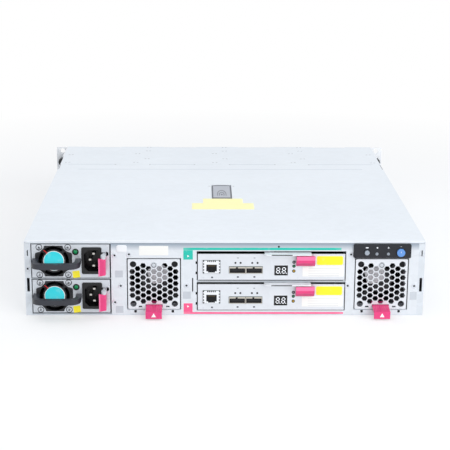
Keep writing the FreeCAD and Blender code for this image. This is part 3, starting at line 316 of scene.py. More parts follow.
rear_steel = dressed("rear_sheet", plated((228, 233, 239), 0.36), 0.55, 0.25)
# Painted shade: the rear panel darkens towards its top under the cover's lip.
lip_shade(rear_steel, 76, 83.5, paint(158, 170, 184))
side_steel = dressed("side_sheet", plated((222, 228, 235), 0.40, 0.07, 0.16), 0.55, 0.25)
inner_steel = dressed("inner_sheet", plated((196, 202, 208), 0.45, 0.12, 0.2), 0.6, 0.3)
ear_steel = dressed("ear_sheet", plated((240, 243, 247), 0.4, 0.03, 0.05), 0.25, 0.2)
finish_nodes(rear_steel, "rear_panel")
finish_nodes(ear_steel, "rack_ear_left", "rack_ear_right")
finish_nodes(side_steel, "chassis_tray")
finish_nodes(inner_steel, "psu_cage", "fan_sleeves", "io_cage", "drive_cage")

# ---------------------------------------------------------------- rear panel fittings
# Dimples pressed into the steel panel seat it on the cages behind it. Dark strips in the gaps round
# the modules are painted shade, and four small catches hold the left edge of the module bay.


def middle_of(name):
    """The middle of a part, in millimetres."""
    low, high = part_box(name)
    return tuple((a + b) / 2 / mm for a, b in zip(low, high))


def reach_of(name):
    """How far a part stands out of the service side, in millimetres."""
    return (rear_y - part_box(name)[0].y) / mm


def rounded(half_wide, half_high, corner, count=40):
    """A rectangle with round corners: a small circle of the corner's size, moved out to the
    corner that each of its quarters belongs to."""
    turn = (np.arange(count) + 0.5) * 2 * np.pi / count
    wide = np.sign(np.cos(turn)) * (half_wide - corner) + corner * np.cos(turn)
    high = np.sign(np.sin(turn)) * (half_high - corner) + corner * np.sin(turn)
    return np.stack([wide, high], 1)


def circle(radius, count=32):
    """Points radius * (cos t, sin t) for equal steps of t."""
    turn = np.arange(count) * 2 * np.pi / count
    return radius * np.stack([np.cos(turn), np.sin(turn)], 1)


def on_rear(points):
    """Millimetres across, up and out of the service side become metres in the frame."""
    across, height, out = np.moveaxis(points, -1, 0)
    return np.stack([across * mm, rear_y - out * mm, height * mm], -1)


def on_deck(points):
    """Millimetres across, back from the service side and up off the deck become metres."""
    across, back, out = np.moveaxis(points, -1, 0)
    return np.stack([across * mm, rear_y + back * mm, deck_z + out * mm], -1)


def on_side(sign):
    """The same for a side wall: back from the service side, height, and out of the wall."""
    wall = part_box("chassis_tray")[1].x

    def lay(points):
        back, height, out = np.moveaxis(points, -1, 0)
        return np.stack([sign * (wall + out * mm), rear_y + back * mm, height * mm], -1)

    return lay


def on_front(points):
    """The same for the drive side: across, height and out of the drives' levers."""
    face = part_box("drive_01")[1].y
    across, height, out = np.moveaxis(points, -1, 0)
    return np.stack([across * mm, face + out * mm, height * mm], -1)


def skinned(name, material, body, rings, places=None):
    """Closed skins from rings[copy, ring, point]: each point joins its neighbours along its ring and
    across to the next ring. Points that meet are merged and the faces turned outwards. The piece gets
    its material, its shading and its body."""
    copies, depth, count = rings.shape[:3]
    here = np.arange(copies * depth * count).reshape(copies, depth, count)
    beside = np.roll(here, -1, axis=2)
    quads = np.stack([here[:, :-1], beside[:, :-1], beside[:, 1:], here[:, 1:]], -1).reshape(-1, 4)
    mesh = bpy.data.meshes.new(name)
    mesh.from_pydata(rings.reshape(-1, 3).tolist(), [], quads.tolist())
    if places is not None:
        spread = mesh.attributes.new("spread", "FLOAT", "POINT")
        spread.data.foreach_set("value", np.ascontiguousarray(places.reshape(-1), np.float32))
    shape = bmesh.new()
    shape.from_mesh(mesh)
    bmesh.ops.remove_doubles(shape, verts=shape.verts, dist=1e-7)
    bmesh.ops.dissolve_degenerate(shape, edges=shape.edges, dist=1e-8)
    bmesh.ops.recalc_face_normals(shape, faces=shape.faces)
    shape.to_mesh(mesh)
    shape.free()
    mesh.materials.append(material)
    mesh.shade_smooth()
    mesh.set_sharp_from_angle(angle=math.radians(35))
    piece = bpy.data.objects.new(name, mesh)
    bpy.context.scene.collection.objects.link(piece)
    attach(piece, body)


def offsets_of(centres):
    """Where the copies of a piece stand, each given as (across, up) or (across, up, out)."""
    return np.array([(*centre, 0.0)[:3] for centre in centres], float)[:, None, None]


def turned(name, material, centres, profile, body="chassis", lay=on_rear, stretch=1.0, count=24):
    """A profile of (radius, height) points turned about each centre, as on a lathe. A stretch
    other than 1 makes the circles into ovals along the second direction."""
    radii, heights = np.array(profile, float).T
    turn = np.arange(count) * 2 * np.pi / count
    across = radii[:, None] * np.cos(turn)
    along = radii[:, None] * np.sin(turn) * stretch
    ring = np.stack([across, along, np.broadcast_to(heights[:, None], across.shape)], -1)
    spread = np.broadcast_to((radii / radii.max())[None, :, None], (len(centres), *across.shape))
    skinned(name, material, body, lay(ring[None] + offsets_of(centres)), spread)


def plate(name, material, centres, outline, height, body="chassis", lay=on_rear, lift=0.0,
          turn=0.0, edge=0.12):
    """A flat piece with a softened rim: its outline drawn in towards the middle, level on top,
    rounded over the last `edge` millimetres and closed underneath."""
    brim = 1 - edge / np.abs(outline).max(0).min()
    shares = np.array([0, 0.5 * brim, 0.9 * brim, brim, 1, 1, 0])
    levels = np.array([height, height, height, height, height - edge * 0.7, 0, 0]) + lift
    spin = np.array([[math.cos(turn), math.sin(turn)], [-math.sin(turn), math.cos(turn)]])
    flat = shares[:, None, None] * (outline @ spin)[None]
    ring = np.concatenate([flat, np.broadcast_to(levels[:, None, None], (*flat.shape[:2], 1))], -1)
    spread = np.broadcast_to(shares[None, :, None], (len(centres), *flat.shape[:2]))
    skinned(name, material, body, lay(ring[None] + offsets_of(centres)), spread)


def moulded_finish():
    """Spark-eroded mould grain a third of a millimetre wide, and soft clouds of handling."""
    tree, given, result = group_of("moulded_finish", {"Colour": (0.05, 0.05, 0.05, 1),
                                                      "Roughness": 0.5, "Handling": 0.1})
    place = place_of(tree)
    grain = add(tree, "TexNoise", Vector=place, Scale=3200.0, Detail=2.0).outputs["Fac"]
    cloud = add(tree, "TexNoise", Vector=place, Scale=90.0, Detail=4.0).outputs["Fac"]
    rubbed = ramp(tree, cloud, (0.4, 0.0), (0.7, 1.0))
    dull = math_of(tree, "MULTIPLY", rubbed, given["Handling"])
    value = math_of(tree, "ADD", 1.0, math_of(tree, "MULTIPLY", dull, 0.8))
    tone = add(tree, "HueSaturation", Value=value, Color=given["Colour"]).outputs[0]
    tree.links.new(tone, result["Colour"])
    tree.links.new(math_of(tree, "ADD", given["Roughness"], dull), result["Roughness"])
    tree.links.new(grain, result["Height"])
    return tree


moulding = moulded_finish()


def moulded(colour, roughness=0.4, handling=0.1):
    """The mould finish in one colour: its group and what goes into it."""
    return moulding, {"Colour": paint(*colour), "Roughness": roughness, "Handling": handling}


screw_steel = dressed("screw_steel", plated((214, 219, 226), 0.28, 0.1, 0.2), 0.85, 0.1)
pressed_steel = dressed("pressed_sheet", plated((222, 227, 234), 0.4), 0.5, 0.2)
# Near-black moulding: painted shade in holes, gaps, slots, grooves and recesses, and the black of a
# few small parts.
shadow_black = dressed("hole_black", moulded((16, 17, 20), 0.8), 0.0, 0.1)

dimples = [(-123.6, 70.3), (-107.5, 71.6), (-117.1, 34.7), (-123.8, 15.3), (-43.4, 35.0),
           (140.9, 71.6), (138.1, 34.8), (213.1, 34.6), (-220.6, 54.7)]
bare_hole = (59.8, 80.6)
turned("panel_dimples", pressed_steel, dimples,
       [(0, 0.05), (1.5, 0.05), (1.8, 0.35), (2.3, 0.42), (2.8, 0.3), (3.1, 0), (0, 0)])
turned("panel_dimple_holes", shadow_black, dimples + [bare_hole],
       [(0, 0.12), (1.05, 0.12), (1.15, 0.06), (0, 0.04)])

bay_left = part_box("io_cage")[0].x / mm + 1
fans = [middle_of("fan1_case"), middle_of("fan2_case")]
beside_fan = 29.85
strips = [((x + side * beside_fan, z), (0.42, 28.6)) for x, _, z in fans for side in (-1, 1)]
strips += [((bay_left + x, z), (0.4, 14.4)) for x in (0.6, 166.75) for z in (21.5, 57.0)]
strips += [((bay_left + 83.7, z), (81, 0.3)) for z in (6.0, 41.1)]
# Near-black strips a millimetre inside the gaps round the modules: painted shade.
for index, (centre, half) in enumerate(strips, start=1):
    plate(f"bay_gap_shade_{index}", shadow_black, [centre], rounded(*half, 0.2, 16), 0.3, lift=-1.0,
          edge=0.1)
plate("bay_edge_catches", shadow_black, [(bay_left - 0.2, z) for z in (62, 50, 26, 14)],
      rounded(1.1, 1.5, 0.3), 0.15)

# ---------------------------------------------------------------- panel labels and colour bands
# Polyester film, printed on the back and stuck on by hand: plain grey plates, a white tag and
# the green and pink bands that tell the upper module from the lower. None carries any text.


def film_finish():
    """Even ink with a paler, lifted rim, fine paper tooth and a few rubbed spots."""
    tree, given, result = group_of("film_finish", {"Colour": (0.8, 0.8, 0.8, 1), "Roughness": 0.4,
                                                   "Rim": 0.3})
    place = place_of(tree)
    spread = add(tree, "Attribute", attribute_name="spread").outputs["Fac"]
    rim = math_of(tree, "MULTIPLY", ramp(tree, spread, (0.9, 0.0), (1.0, 1.0)), given["Rim"])
    tooth = add(tree, "TexNoise", Vector=place, Scale=1800.0, Detail=3.0).outputs["Fac"]
    cloud = add(tree, "TexNoise", Vector=place, Scale=130.0, Detail=5.0).outputs["Fac"]
    worn = ramp(tree, cloud, (0.56, 0.0), (0.8, 0.22))
    pale = mixed(tree, rim, given["Colour"], paint(250, 250, 250))
    faded = mixed(tree, worn, pale, paint(236, 238, 240))
    tree.links.new(faded, result["Colour"])
    tree.links.new(math_of(tree, "ADD", given["Roughness"], worn), result["Roughness"])
    tree.links.new(tooth, result["Height"])
    return tree


film = film_finish()


def film_of(name, colour, roughness=0.42, rim=0.25):
    """Printed film of one ink."""
    ink = {"Colour": paint(*colour), "Roughness": roughness, "Rim": rim}
    return dressed(name, (film, ink), bump=0.05)


def label(name, material, box, body="chassis", corner=0.5, lay=on_rear):
    """A stuck-on label that fills a box given as left, low, right and high millimetres."""
    left, low, right, high = box
    shape = rounded((right - left) / 2, (high - low) / 2, corner)
    plate(name, material, [((left + right) / 2, (low + high) / 2)], shape, 0.12, body, lay,
          edge=0.08)


def arrow(size):
    """A triangle that points along the first direction, its three corners on a circle."""
    turn = np.repeat(np.arange(3) * 2 * np.pi / 3, 8) + np.tile(np.linspace(-0.04, 0.04, 8), 3)
    return size * np.stack([np.cos(turn), np.sin(turn)], 1)


white_film = film_of("white_film", (246, 246, 243))
grey_film = film_of("grey_film", (196, 202, 210))
green_film = film_of("green_film", (40, 194, 176), rim=0.12)
pink_film = film_of("pink_film", (246, 92, 142), rim=0.12)
yellow_film = film_of("yellow_film", (255, 240, 48), rim=0.1)
pale_yellow_film = film_of("pale_yellow_film", (255, 249, 182), rim=0.1)
tab_white = dressed("white_moulding", moulded((238, 241, 245), 0.35, 0.05), 0.0, 0.15)

label("panel_plate_upper", grey_film, (-123.2, 44.6, -114.4, 52.8))
label("panel_plate_lower", grey_film, (-123.2, 2.7, -114.4, 11.0))
label("panel_plate_middle", grey_film, (-47.3, 19.4, -38.3, 28.1))
label("panel_plate_right", grey_film, (208.6, 18.3, 216.6, 27.8))
label("blank_tag", white_film, (-96.1, 70.4, -63.5, 81.4), corner=0.8)
label("green_band_square", green_film, (-46.8, 65.5, -36.1, 76.5))
label("green_band", green_film, (-46.8, 76.6, 129.9, 79.4), corner=0.3)
label("pink_band_square", pink_film, (-46.6, 3.7, -36.5, 14.1))
label("pink_band", pink_film, (-46.6, 1.5, 133.9, 3.6), corner=0.3)
plate("green_band_arrow", white_film, [(-41.6, 69.6)], arrow(1.5), 0.05, lift=0.1, edge=0.03)
plate("pink_band_arrow", white_film, [(-41.8, 10.4)], arrow(1.5), 0.05, lift=0.1, edge=0.03)
plate("panel_tab", tab_white, [(-115.5, 78.4)], rounded(5.8, 4.0, 2.2), 0.9, edge=0.5)

# ---------------------------------------------------------------- top cover
# A pressed steel lid behind a fixed steel plate over the drive bays. Pairs of small stamps, a broken
# seam, a long crease and the bright rear fold are thin strips laid on the flat sheet: the stamps,
# seam and crease are tinted darker with painted shade, and the rear fold is a painted highlight. A
# blank yellow label lies before the latch.

deck_steel = dressed("deck_sheet", plated((232, 238, 245), 0.34, 0.03, 0.08), 0.4, 0.15)
finish_nodes(deck_steel, "top_cover", "front_top_plate")


def carried(name, material, profile, path, body="chassis", lay=on_rear, tilt=(0, 0, 1.0)):
    """A closed profile (across, out) carried along a path of (across, along, out) points. The
    across direction is square to the path and level. Both ends are drawn in to a point."""
    path = np.array(path, float)
    profile = np.array(profile, float)
    ahead = np.gradient(path, axis=0)
    ahead /= np.linalg.norm(ahead, axis=1, keepdims=True)
    beside = np.cross(ahead, np.array(tilt))
    beside /= np.linalg.norm(beside, axis=1, keepdims=True)
    above = np.cross(beside, ahead)
    middle = profile.mean(0)
    size = np.ones(len(path) + 2)
    size[[0, -1]] = 0
    grown = np.concatenate([[0], np.arange(len(path)), [len(path) - 1]]).astype(int)
    shape = middle + (profile - middle)[None] * size[:, None, None]
    ring = (path[grown][:, None] + shape[..., :1] * beside[grown][:, None]
            + shape[..., 1:] * above[grown][:, None])
    skinned(name, material, body, lay(ring[None]))


def painted_strip(name, *colour):
    """Painted shade for a fold, crease or stamp in the deck, and a painted highlight for a bright
    edge.
    """
    return film_of(name, colour, rim=0.0)


stamp_grey = painted_strip("stamp_shade", 150, 152, 158)
fold_grey = painted_strip("fold_shade", 168, 178, 192)
crease_grey = painted_strip("crease_shade", 196, 205, 216)
edge_shine = painted_strip("edge_shine", 252, 253, 255)

columns = (-215, -104.3, 6.7, 117.3, 214.6)
pairs = [(x, back) if abs(x) > 200 else (x, back * 0.995 + 27) for x in columns
         for back in (401, 454)]
pairs += [(x - 14.8, back) for x in columns[1:4] for back in (402, 461)]
pairs += [(x, 504) for x in columns[1:4]]
stamps = [(x + side, back) for x, back in pairs for side in (-2.4, 2.4)]
turned("deck_lances", stamp_grey, stamps, [(0, 0.08), (0.9, 0.08), (1.5, 0), (0, -0.1)],
       lay=on_deck, stretch=0.6)
# The long crease: a low bead tinted with painted shade.
carried("deck_bead", crease_grey, [(-0.9, 0), (-0.5, 0.09), (0, 0.12), (0.5, 0.09), (0.9, 0)],
        [(x, 358.6, 0) for x in np.linspace(-196, 195, 24)], "cover", on_deck)

seams = ((-213, -147), (-99, -36.5), (12.5, 76), (123.5, 213))
for index, (start, end) in enumerate(seams, start=1):
    plate(f"cover_seam_{index}", fold_grey, [((start + end) / 2, 389.2)],
          rounded((end - start) / 2, 0.45, 0.2), 0.06, lay=on_deck, edge=0.05)
inner_ends = [end for seam in seams for end in seam][1:-1]
turned("cover_seam_ends", stamp_grey, [(x, 388.6) for x in inner_ends],
       [(0, 0.1), (0.8, 0.1), (1.2, 0), (0, -0.1)], lay=on_deck)
plate("front_notch_floors", fold_grey, [(x, 506.4) for x in (-169.5, -58.95, 51.6, 162.15)],
      rounded(23.8, 1.5, 0.4), 0.3, lay=on_deck, lift=-1.0, edge=0.1)
plate("side_slot_edges", stamp_grey, [(-223.2, 374), (223.2, 374)], rounded(0.5, 15, 0.3), 0.06,
      lay=on_deck, edge=0.05)
# The bright rear fold: a white strip of painted highlight.
plate("cover_edge_highlight", edge_shine, [(0, 0.8)], rounded(223.5, 0.75, 0.3), 0.08, "cover",
      on_deck, edge=0.06)
label("deck_label", pale_yellow_film, (-24.8, 170.9, 24.8, 193.5), "cover", 1.5, on_deck)
label("deck_label_apron", pale_yellow_film, (-38.4, 140.7, 37.8, 170.8), "cover", 1.5, on_deck)

# ---------------------------------------------------------------- cover latch
# A grey glass-filled nylon lever in a well of the lid, with a hinge eye on each side of its far end.
# The curved grip grooves over its middle are painted shade and bump in its finish and aren't cut, and
# its outline darkens with painted shade next to its well.


def past_box(tree, place, low, high):
    """How far a point lies past a box of the frame along each axis. Below zero is inside it."""
    middle = [(a + b) / 2 for a, b in zip(low, high)]
    half = [(b - a) / 2 for a, b in zip(low, high)]
    away = vector_of(tree, "SUBTRACT", place, middle)[0]
    away = vector_of(tree, "ABSOLUTE", away)[0]
    return add(tree, "SeparateXYZ", at0=vector_of(tree, "SUBTRACT", away, half)[0]).outputs


def latch_finish():
    """Grey nylon with painted shade: darker along its outline, where it meets the shadow of its well,
    and darker in its curved grip grooves. The grooves spread from a point near its hinge: a sine of
    the distance from that point."""
    material = dressed("latch_nylon", moulded((174, 178, 188), 0.42, 0.12), 0.0, 0.3)
    tree = material.node_tree
    shader = tree.nodes["Principled BSDF"]
    nylon = shader.inputs["Base Color"].links[0].from_socket
    low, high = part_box("cover_latch")
    place = place_of(tree)
    past = past_box(tree, place, low, high)
    # Painted shade: the outline and the grip grooves are mixed towards a dark grey.
    far_end = math_of(tree, "MULTIPLY", past[1], 0.3)
    near = math_of(tree, "DIVIDE", math_of(tree, "MAXIMUM", past[0], far_end), mm)
    rim = ramp(tree, math_of(tree, "ADD", near, 2.0), (0.15, 0.0), (0.75, 1.0))
    root = ((low.x + high.x) / 2, low.y + 20 * mm, high.z)
    spoke = vector_of(tree, "SUBTRACT", place, root)[0]
    spoke = vector_of(tree, "MULTIPLY", spoke, (1.7, 0.42, 0))[0]
    reach = math_of(tree, "DIVIDE", vector_of(tree, "LENGTH", spoke)["Value"], mm)
    wave = math_of(tree, "SINE", math_of(tree, "MULTIPLY", reach, 1.5))
    oval = ramp(tree, math_of(tree, "DIVIDE", reach, 12.0), (0.9, 1.0), (1.0, 0.0))
    ahead = add(tree, "SeparateXYZ", at0=spoke).outputs[1]
    ahead = add(tree, "MapRange", Value=ahead, From_Min=-4 * mm, From_Max=0.0).outputs[0]
    grooves = math_of(tree, "MULTIPLY", math_of(tree, "MULTIPLY", wave, oval), ahead)
    dark = math_of(tree, "MULTIPLY", ramp(tree, grooves, (0.1, 0.0), (0.5, 1.0)), 0.8)
    dark = math_of(tree, "MAXIMUM", rim, dark)
    tree.links.new(mixed(tree, dark, nylon, paint(96, 100, 110)), shader.inputs["Base Color"])
    bumped(tree, shader, grooves, 0.6, 0.5)
    return material


finish_nodes(latch_finish(), "cover_latch")
hinge_x = middle_of("cover_latch")[0]
hinge_back = 66 - reach_of("cover_latch")
turned("latch_hinge_eyes", stamp_grey, [(hinge_x + side, hinge_back) for side in (-15.5, 15.5)],
       [(0, 0.08), (1.2, 0.08), (1.6, 0), (0, -0.1)], "cover", on_deck, 0.5)

# ---------------------------------------------------------------- power supplies
# Each case is thin zinc-coated sheet round a black moulded fan. A glass-filled nylon bail pulls
# it out, and a springy magenta lever beside the appliance inlet lets it go.

fan_black = dressed("fan_moulding", moulded((30, 31, 35), 0.38), 0.0, 0.25)
blade_black = dressed("blade_moulding", moulded((24, 25, 28), 0.3, 0.08), 0.0, 0.15)
bail_black = dressed("bail_nylon", moulded((46, 48, 56), 0.33, 0.16), 0.0, 0.35)
inlet_black = dressed("inlet_moulding", moulded((14, 14, 16), 0.45, 0.06), 0.0, 0.2)
magenta = dressed("magenta_nylon", moulded((224, 66, 126), 0.34, 0.12), 0.0, 0.2)
nylon_shader = magenta.node_tree.nodes["Principled BSDF"]
nylon_shader.inputs["Subsurface Weight"].default_value = 0.08
nylon_shader.inputs["Subsurface Radius"].default_value = (0.004, 0.001, 0.001)
# A paler magenta, for the top band of each module latch and a strip along each supply lever's edge.
pale_magenta = dressed("magenta_pale", moulded((246, 120, 168), 0.3, 0.06), 0.0, 0.15)
cyan_film = film_of("cyan_film", (64, 226, 238), 0.3, 0.0)
supply_green = dressed("supply_lamp_green", moulded((24, 150, 92), 0.12), 0.0, 0.05)
red_lead = dressed("red_lead", moulded((196, 30, 34), 0.35), 0.0, 0.05)
black_lead = dressed("black_lead", moulded((20, 20, 22), 0.35), 0.0, 0.05)


def two_toned(name, plain, special, boxes, metallic=(0.0, 0.0)):
    """A finish that changes to another one inside boxes of the frame, each given by its lowest
    and highest corners in metres."""
    material, tree, shader = surface(name)
    place = place_of(tree)
    inside = None
    for low, high in boxes:
        past = past_box(tree, place, low, high)
        most = math_of(tree, "MAXIMUM", math_of(tree, "MAXIMUM", past[0], past[1]), past[2])
        here = math_of(tree, "LESS_THAN", most, 0.0)
        inside = here if inside is None else math_of(tree, "MAXIMUM", inside, here)
    outer, inner = [add(tree, "Group", node_tree=group, **values).outputs
                    for group, values in (plain, special)]

    def either(first, second):
        return add(tree, "Mix", data_type="FLOAT", at0=inside, at2=first, at3=second).outputs[0]

    tree.links.new(mixed(tree, inside, outer["Colour"], inner["Colour"]),
                   shader.inputs["Base Color"])
    tree.links.new(either(outer["Roughness"], inner["Roughness"]), shader.inputs["Roughness"])
    tree.links.new(either(*metallic), shader.inputs["Metallic"])
    bumped(tree, shader, either(outer["Height"], inner["Height"]), 0.2, 0.1)
    return material


def fan_shroud(name, middle, body):
    """A flat frame round a duct of 16.9 mm radius. Its outline is a rectangle of half sides 20.6
    and 17.9 mm, cut at the radius 22.6 - 4.2 exp(-((|sin 2t| - 1) / 0.16)^2), which scallops it
    at the four screws."""
    around = np.linspace(0, 2 * np.pi, 97)[:-1]
    side = np.minimum(20.6 / np.maximum(abs(np.cos(around)), 1e-6),
                      17.9 / np.maximum(abs(np.sin(around)), 1e-6))
    rim = np.minimum(side, 22.6 - 4.2 * np.exp(-((abs(np.sin(2 * around)) - 1) / 0.16) ** 2))
    duct = np.full(96, 16.9)
    radii = np.stack([duct, duct + 0.1, rim - 0.3, rim, rim, duct, duct])
    levels = np.array([-0.3, 0.14, 0.14, 0.05, -0.3, -0.3, -0.3])[:, None] + 0 * radii
    rings = np.stack([middle[0] + radii * np.cos(around), middle[1] + radii * np.sin(around),
                      levels], -1)
    skinned(name, fan_black, body, on_rear(rings[None]))


def lead_path(hub, offset):
    """A lead from the hub out to the frame, swayed by half a millimetre of a sine."""
    share = np.linspace(0, 1, 12)
    run = 11.2 + 5.6 * share
    return np.stack([hub[0] - run * 0.72 + offset + 0.5 * np.sin(3 * share),
                     hub[1] + run * 0.7 + offset, -0.55 + 0.2 * np.sin(np.pi * share)], 1)


curve = np.linspace(-np.pi / 2, np.pi / 2, 24)
lever_bulge = np.concatenate([np.stack([0.6 + 3.2 * np.cos(curve), 9.6 * np.sin(curve)], 1),
                              [(-3.8, 10.4), (-3.8, -10.4)]])
for number in (1, 2):
    psu = f"psu{number}"
    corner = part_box(f"{psu}_case")[0]
    left, floor = corner.x / mm, corner.z / mm
    finish_nodes(fan_black, f"{psu}_fan_frame")
    finish_nodes(blade_black, f"{psu}_fan_rotor")
    finish_nodes(bail_black, f"{psu}_handle")

    low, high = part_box(f"{psu}_release_lever")
    neck = ((low.x - mm, low.y - mm, high.z - 3.4 * mm), tuple(place + mm for place in high))
    finish_nodes(two_toned(f"{psu}_lever_finish", moulded((224, 66, 126), 0.34, 0.12),
                           plated((200, 205, 212), 0.36), [neck]), f"{psu}_release_lever")

    x, _, z = middle_of(f"{psu}_inlet")
    pins = [(((x + dx - 1.3) * mm, rear_y + 3 * mm, (z + dz - 1.1) * mm),
             ((x + dx + 1.3) * mm, rear_y + 17.05 * mm, (z + dz + 1.1) * mm))
            for dx, dz in ((-2, 0), (2, 7), (2, -7))]
    finish_nodes(two_toned(f"{psu}_inlet_finish", moulded((12, 12, 14), 0.36, 0.06),
                           plated((206, 202, 196), 0.22), pins, (0.0, 1.0)), f"{psu}_inlet")

    behind_lens = ((corner.x + 43.4 * mm, rear_y + 0.4 * mm, corner.z + 24.6 * mm),
                   (corner.x + 54.2 * mm, rear_y + 2.4 * mm, corner.z + 35.4 * mm))
    finish_nodes(two_toned(f"{psu}_case_finish", plated((214, 219, 226), 0.34),
                           moulded((18, 22, 20), 0.5), [behind_lens], (0.55, 0.0)), f"{psu}_case")

    hub = (left + 24.4, floor + 19.3)
    heads = [(hub[0] + dx, hub[1] + dz) for dx in (-16, 16) for dz in (-16, 16)]
    turned(f"{psu}_fan_screws", screw_steel, heads,
           [(0, 0.9), (1.4, 0.85), (2.3, 0.6), (2.8, 0.15), (3.0, 0), (0, 0)], psu)
    for turn, name in ((0.4, "a"), (0.4 + math.pi / 2, "b")):
        plate(f"{psu}_screw_cross_{name}", shadow_black, heads, rounded(1.5, 0.32, 0.15), 0.1, psu,
              lift=0.82, turn=turn, edge=0.04)
    turned(f"{psu}_screw_seats", fan_black, heads,
           [(0, 0.02), (3.2, 0.02), (3.3, 0.12), (3.55, 0.12), (3.7, 0), (0, -0.05)], psu)
    fan_shroud(f"{psu}_fan_shroud", hub, psu)
    plate(f"{psu}_hub_rim", white_film, [hub], circle(11.6, 48), 0.12, psu, lift=-0.8, edge=0.08)
    plate(f"{psu}_hub_label", cyan_film, [hub], circle(10.9, 48), 0.05, psu, lift=-0.68,
          edge=0.04)
    for name, lead, offset in (("red", red_lead, 0.8), ("black", black_lead, -0.8)):
        carried(f"{psu}_fan_wire_{name}", lead, circle(0.55, 10), lead_path(hub, offset), psu)

    lamp = (left + 48.8, floor + 30)
    turned(f"{psu}_lamp_lens", supply_green, [(*lamp, -0.8)],
           [(0, 0.6), (1.2, 0.5), (2.0, 0.2), (2.4, 0), (0, 0)], psu)
    turned(f"{psu}_lamp_bezel", inlet_black, [lamp],
           [(2.5, -0.3), (2.6, 0.35), (3.2, 0.4), (3.75, 0.15), (3.8, 0), (3.6, -0.4),
            (2.5, -0.3)], psu)
    plate(f"{psu}_lever_grip", magenta, [(left + 79.0, floor + 16.4)], lever_bulge, 1.2,
          f"{psu}_lever", lift=14.9, edge=0.6)
    plate(f"{psu}_lever_edge", pale_magenta, [(left + 76.0, floor + 16.4)],
          rounded(0.7, 9.9, 0.5), 0.5, f"{psu}_lever", lift=16.0, edge=0.3)
    plate(f"{psu}_sticker", yellow_film, [(left + 49.2, floor + 3.9)], rounded(4.0, 4.0, 0.4),
          0.1, psu, turn=0.12, edge=0.06)

# ---------------------------------------------------------------- fan modules
# A square steel shell, its face punched with a honeycomb between four screw holes. An eyelet
# closes it at the top, and a magenta spring tab with a ribbed ramp releases it.

shell_steel = dressed("fan_shell_sheet", plated((230, 234, 240), 0.33, 0.04, 0.08), 0.5, 0.2)
motor_film = film_of("motor_film", (206, 206, 210))
rib = [(-0.55, -0.1), (-0.3, 0.22), (0, 0.3), (0.3, 0.22), (0.55, -0.1)]
for number, (x, _, z) in enumerate(fans, start=1):
    fan = f"fan{number}"
    tab = f"{fan}_release_tab"
    finish_nodes(shell_steel, f"{fan}_case")
    finish_nodes(fan_black, f"{fan}_frame")
    finish_nodes(blade_black, f"{fan}_rotor")
    finish_nodes(magenta, tab)
    turned(f"{fan}_eyelet", screw_steel, [(x, z + 22.3)],
           [(0, 0.5), (1.3, 0.45), (2.0, 0.2), (2.3, 0.1), (2.6, 0.35), (3.3, 0.4), (3.6, 0.2),
            (3.7, 0), (0, -0.2)], fan, count=32)
    turned(f"{fan}_eyelet_groove", shadow_black, [(x, z + 22.3)],
           [(2.15, 0.1), (2.2, 0.28), (2.65, 0.38), (2.7, 0.1), (2.15, 0.1)], fan, count=32)
    plate(f"{fan}_motor_label", motor_film, [(x + (4 if number == 1 else -5), z + 6.0)],
          rounded(11, 9.5, 5), 0.12, fan, lift=-17.45, turn=0.3, edge=0.06)
    sheet_top = z - 24.8
    for index in range(7):
        across = x + (index - 3) * 2.4
        ramp_line = [(across, sheet_top - 2.4 * run / 18, run) for run in np.linspace(1.2, 16.6, 10)]
        carried(f"{fan}_tab_rib_{index + 1}", magenta, rib, ramp_line, f"{fan}_tab",
                tilt=(0, 1, 0.13))
    plate(f"{fan}_tab_arrow", white_film, [(x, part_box(tab)[0].z / mm + 3.6)], arrow(2.9), 0.1,
          f"{fan}_tab", lift=reach_of(tab) - 0.02, turn=math.pi / 2, edge=0.05)

# ---------------------------------------------------------------- input and output modules
# A steel tray whose face carries a network jack, two storage ports, a two-digit display and three
# lamps. A bright steel ejector lies over it, held by a folded magenta latch, with a line of painted
# shade at its front edge. The mouths of the jack and the ports are dark plates over the openings of
# the tray: painted shade in place of their depth.

face_steel = dressed("module_sheet", plated((228, 232, 238), 0.35, 0.04, 0.08), 0.5, 0.18)
lever_steel = dressed("lever_sheet", plated((240, 243, 248), 0.25, 0.03, 0.15), 0.2, 0.12)
pin_gold = dressed("gold_plating", plated((120, 104, 74), 0.4, 0.02, 0.05), 1.0, 0.05)
shell_nickel = dressed("shell_nickel", plated((206, 200, 190), 0.3, 0.03), 0.7, 0.05)
tongue_grey = dressed("tongue_plastic", moulded((30, 31, 34)), 0.0, 0.1)
window_black = dressed("display_window", moulded((14, 14, 17), 0.08), 0.0, 0.02)
mark_grey = film_of("printed_grey", (78, 84, 94), rim=0.0)
rule_grey = film_of("printed_rule", (206, 210, 216), rim=0.0)


def digit_bars(wide, high, thick):
    """The seven bars of a digit that shows an eight: four upright and three level, each a long
    hexagon, given as (centre across, centre up, half length, half thickness, upright)."""
    upright = [(side * wide / 2, side_up * high / 4, high / 4 - thick * 0.7, thick / 2, True)
               for side in (-1, 1) for side_up in (-1, 1)]
    level = [(0, up * high / 2, wide / 2 - thick * 0.7, thick / 2, False) for up in (-1, 0, 1)]
    return upright + level


def long_hexagon(half_length, half_thickness):
    """A bar with pointed ends."""
    shoulder = half_length - half_thickness
    return np.array([(half_length, 0), (shoulder, half_thickness), (-shoulder, half_thickness),
                     (-half_length, 0), (-shoulder, -half_thickness), (shoulder, -half_thickness)])


def glowing(name, colour, strength):
    """A lit plastic: its colour given off as well as reflected."""
    material = dressed(name, moulded(colour, 0.2), 0.0, 0.03)
    shader = material.node_tree.nodes["Principled BSDF"]
    shader.inputs["Emission Color"].default_value = paint(*colour)
    shader.inputs["Emission Strength"].default_value = strength
    return material


segment_white = glowing("segment_white", (240, 244, 250), 0.9)
lamp_colours = {"grey": glowing("lamp_grey", (150, 158, 166), 0.05),
                "green": glowing("lamp_green", (56, 132, 94), 0.08),
                "amber": glowing("lamp_amber", (184, 148, 52), 0.1)}
plug_mouth = np.array([(-3.9, -6.4), (3.9, -6.4), (3.9, -5.0), (5.9, -5.0), (5.9, 2.8),
                       (-5.9, 2.8), (-5.9, -5.0), (-3.9, -5.0)])

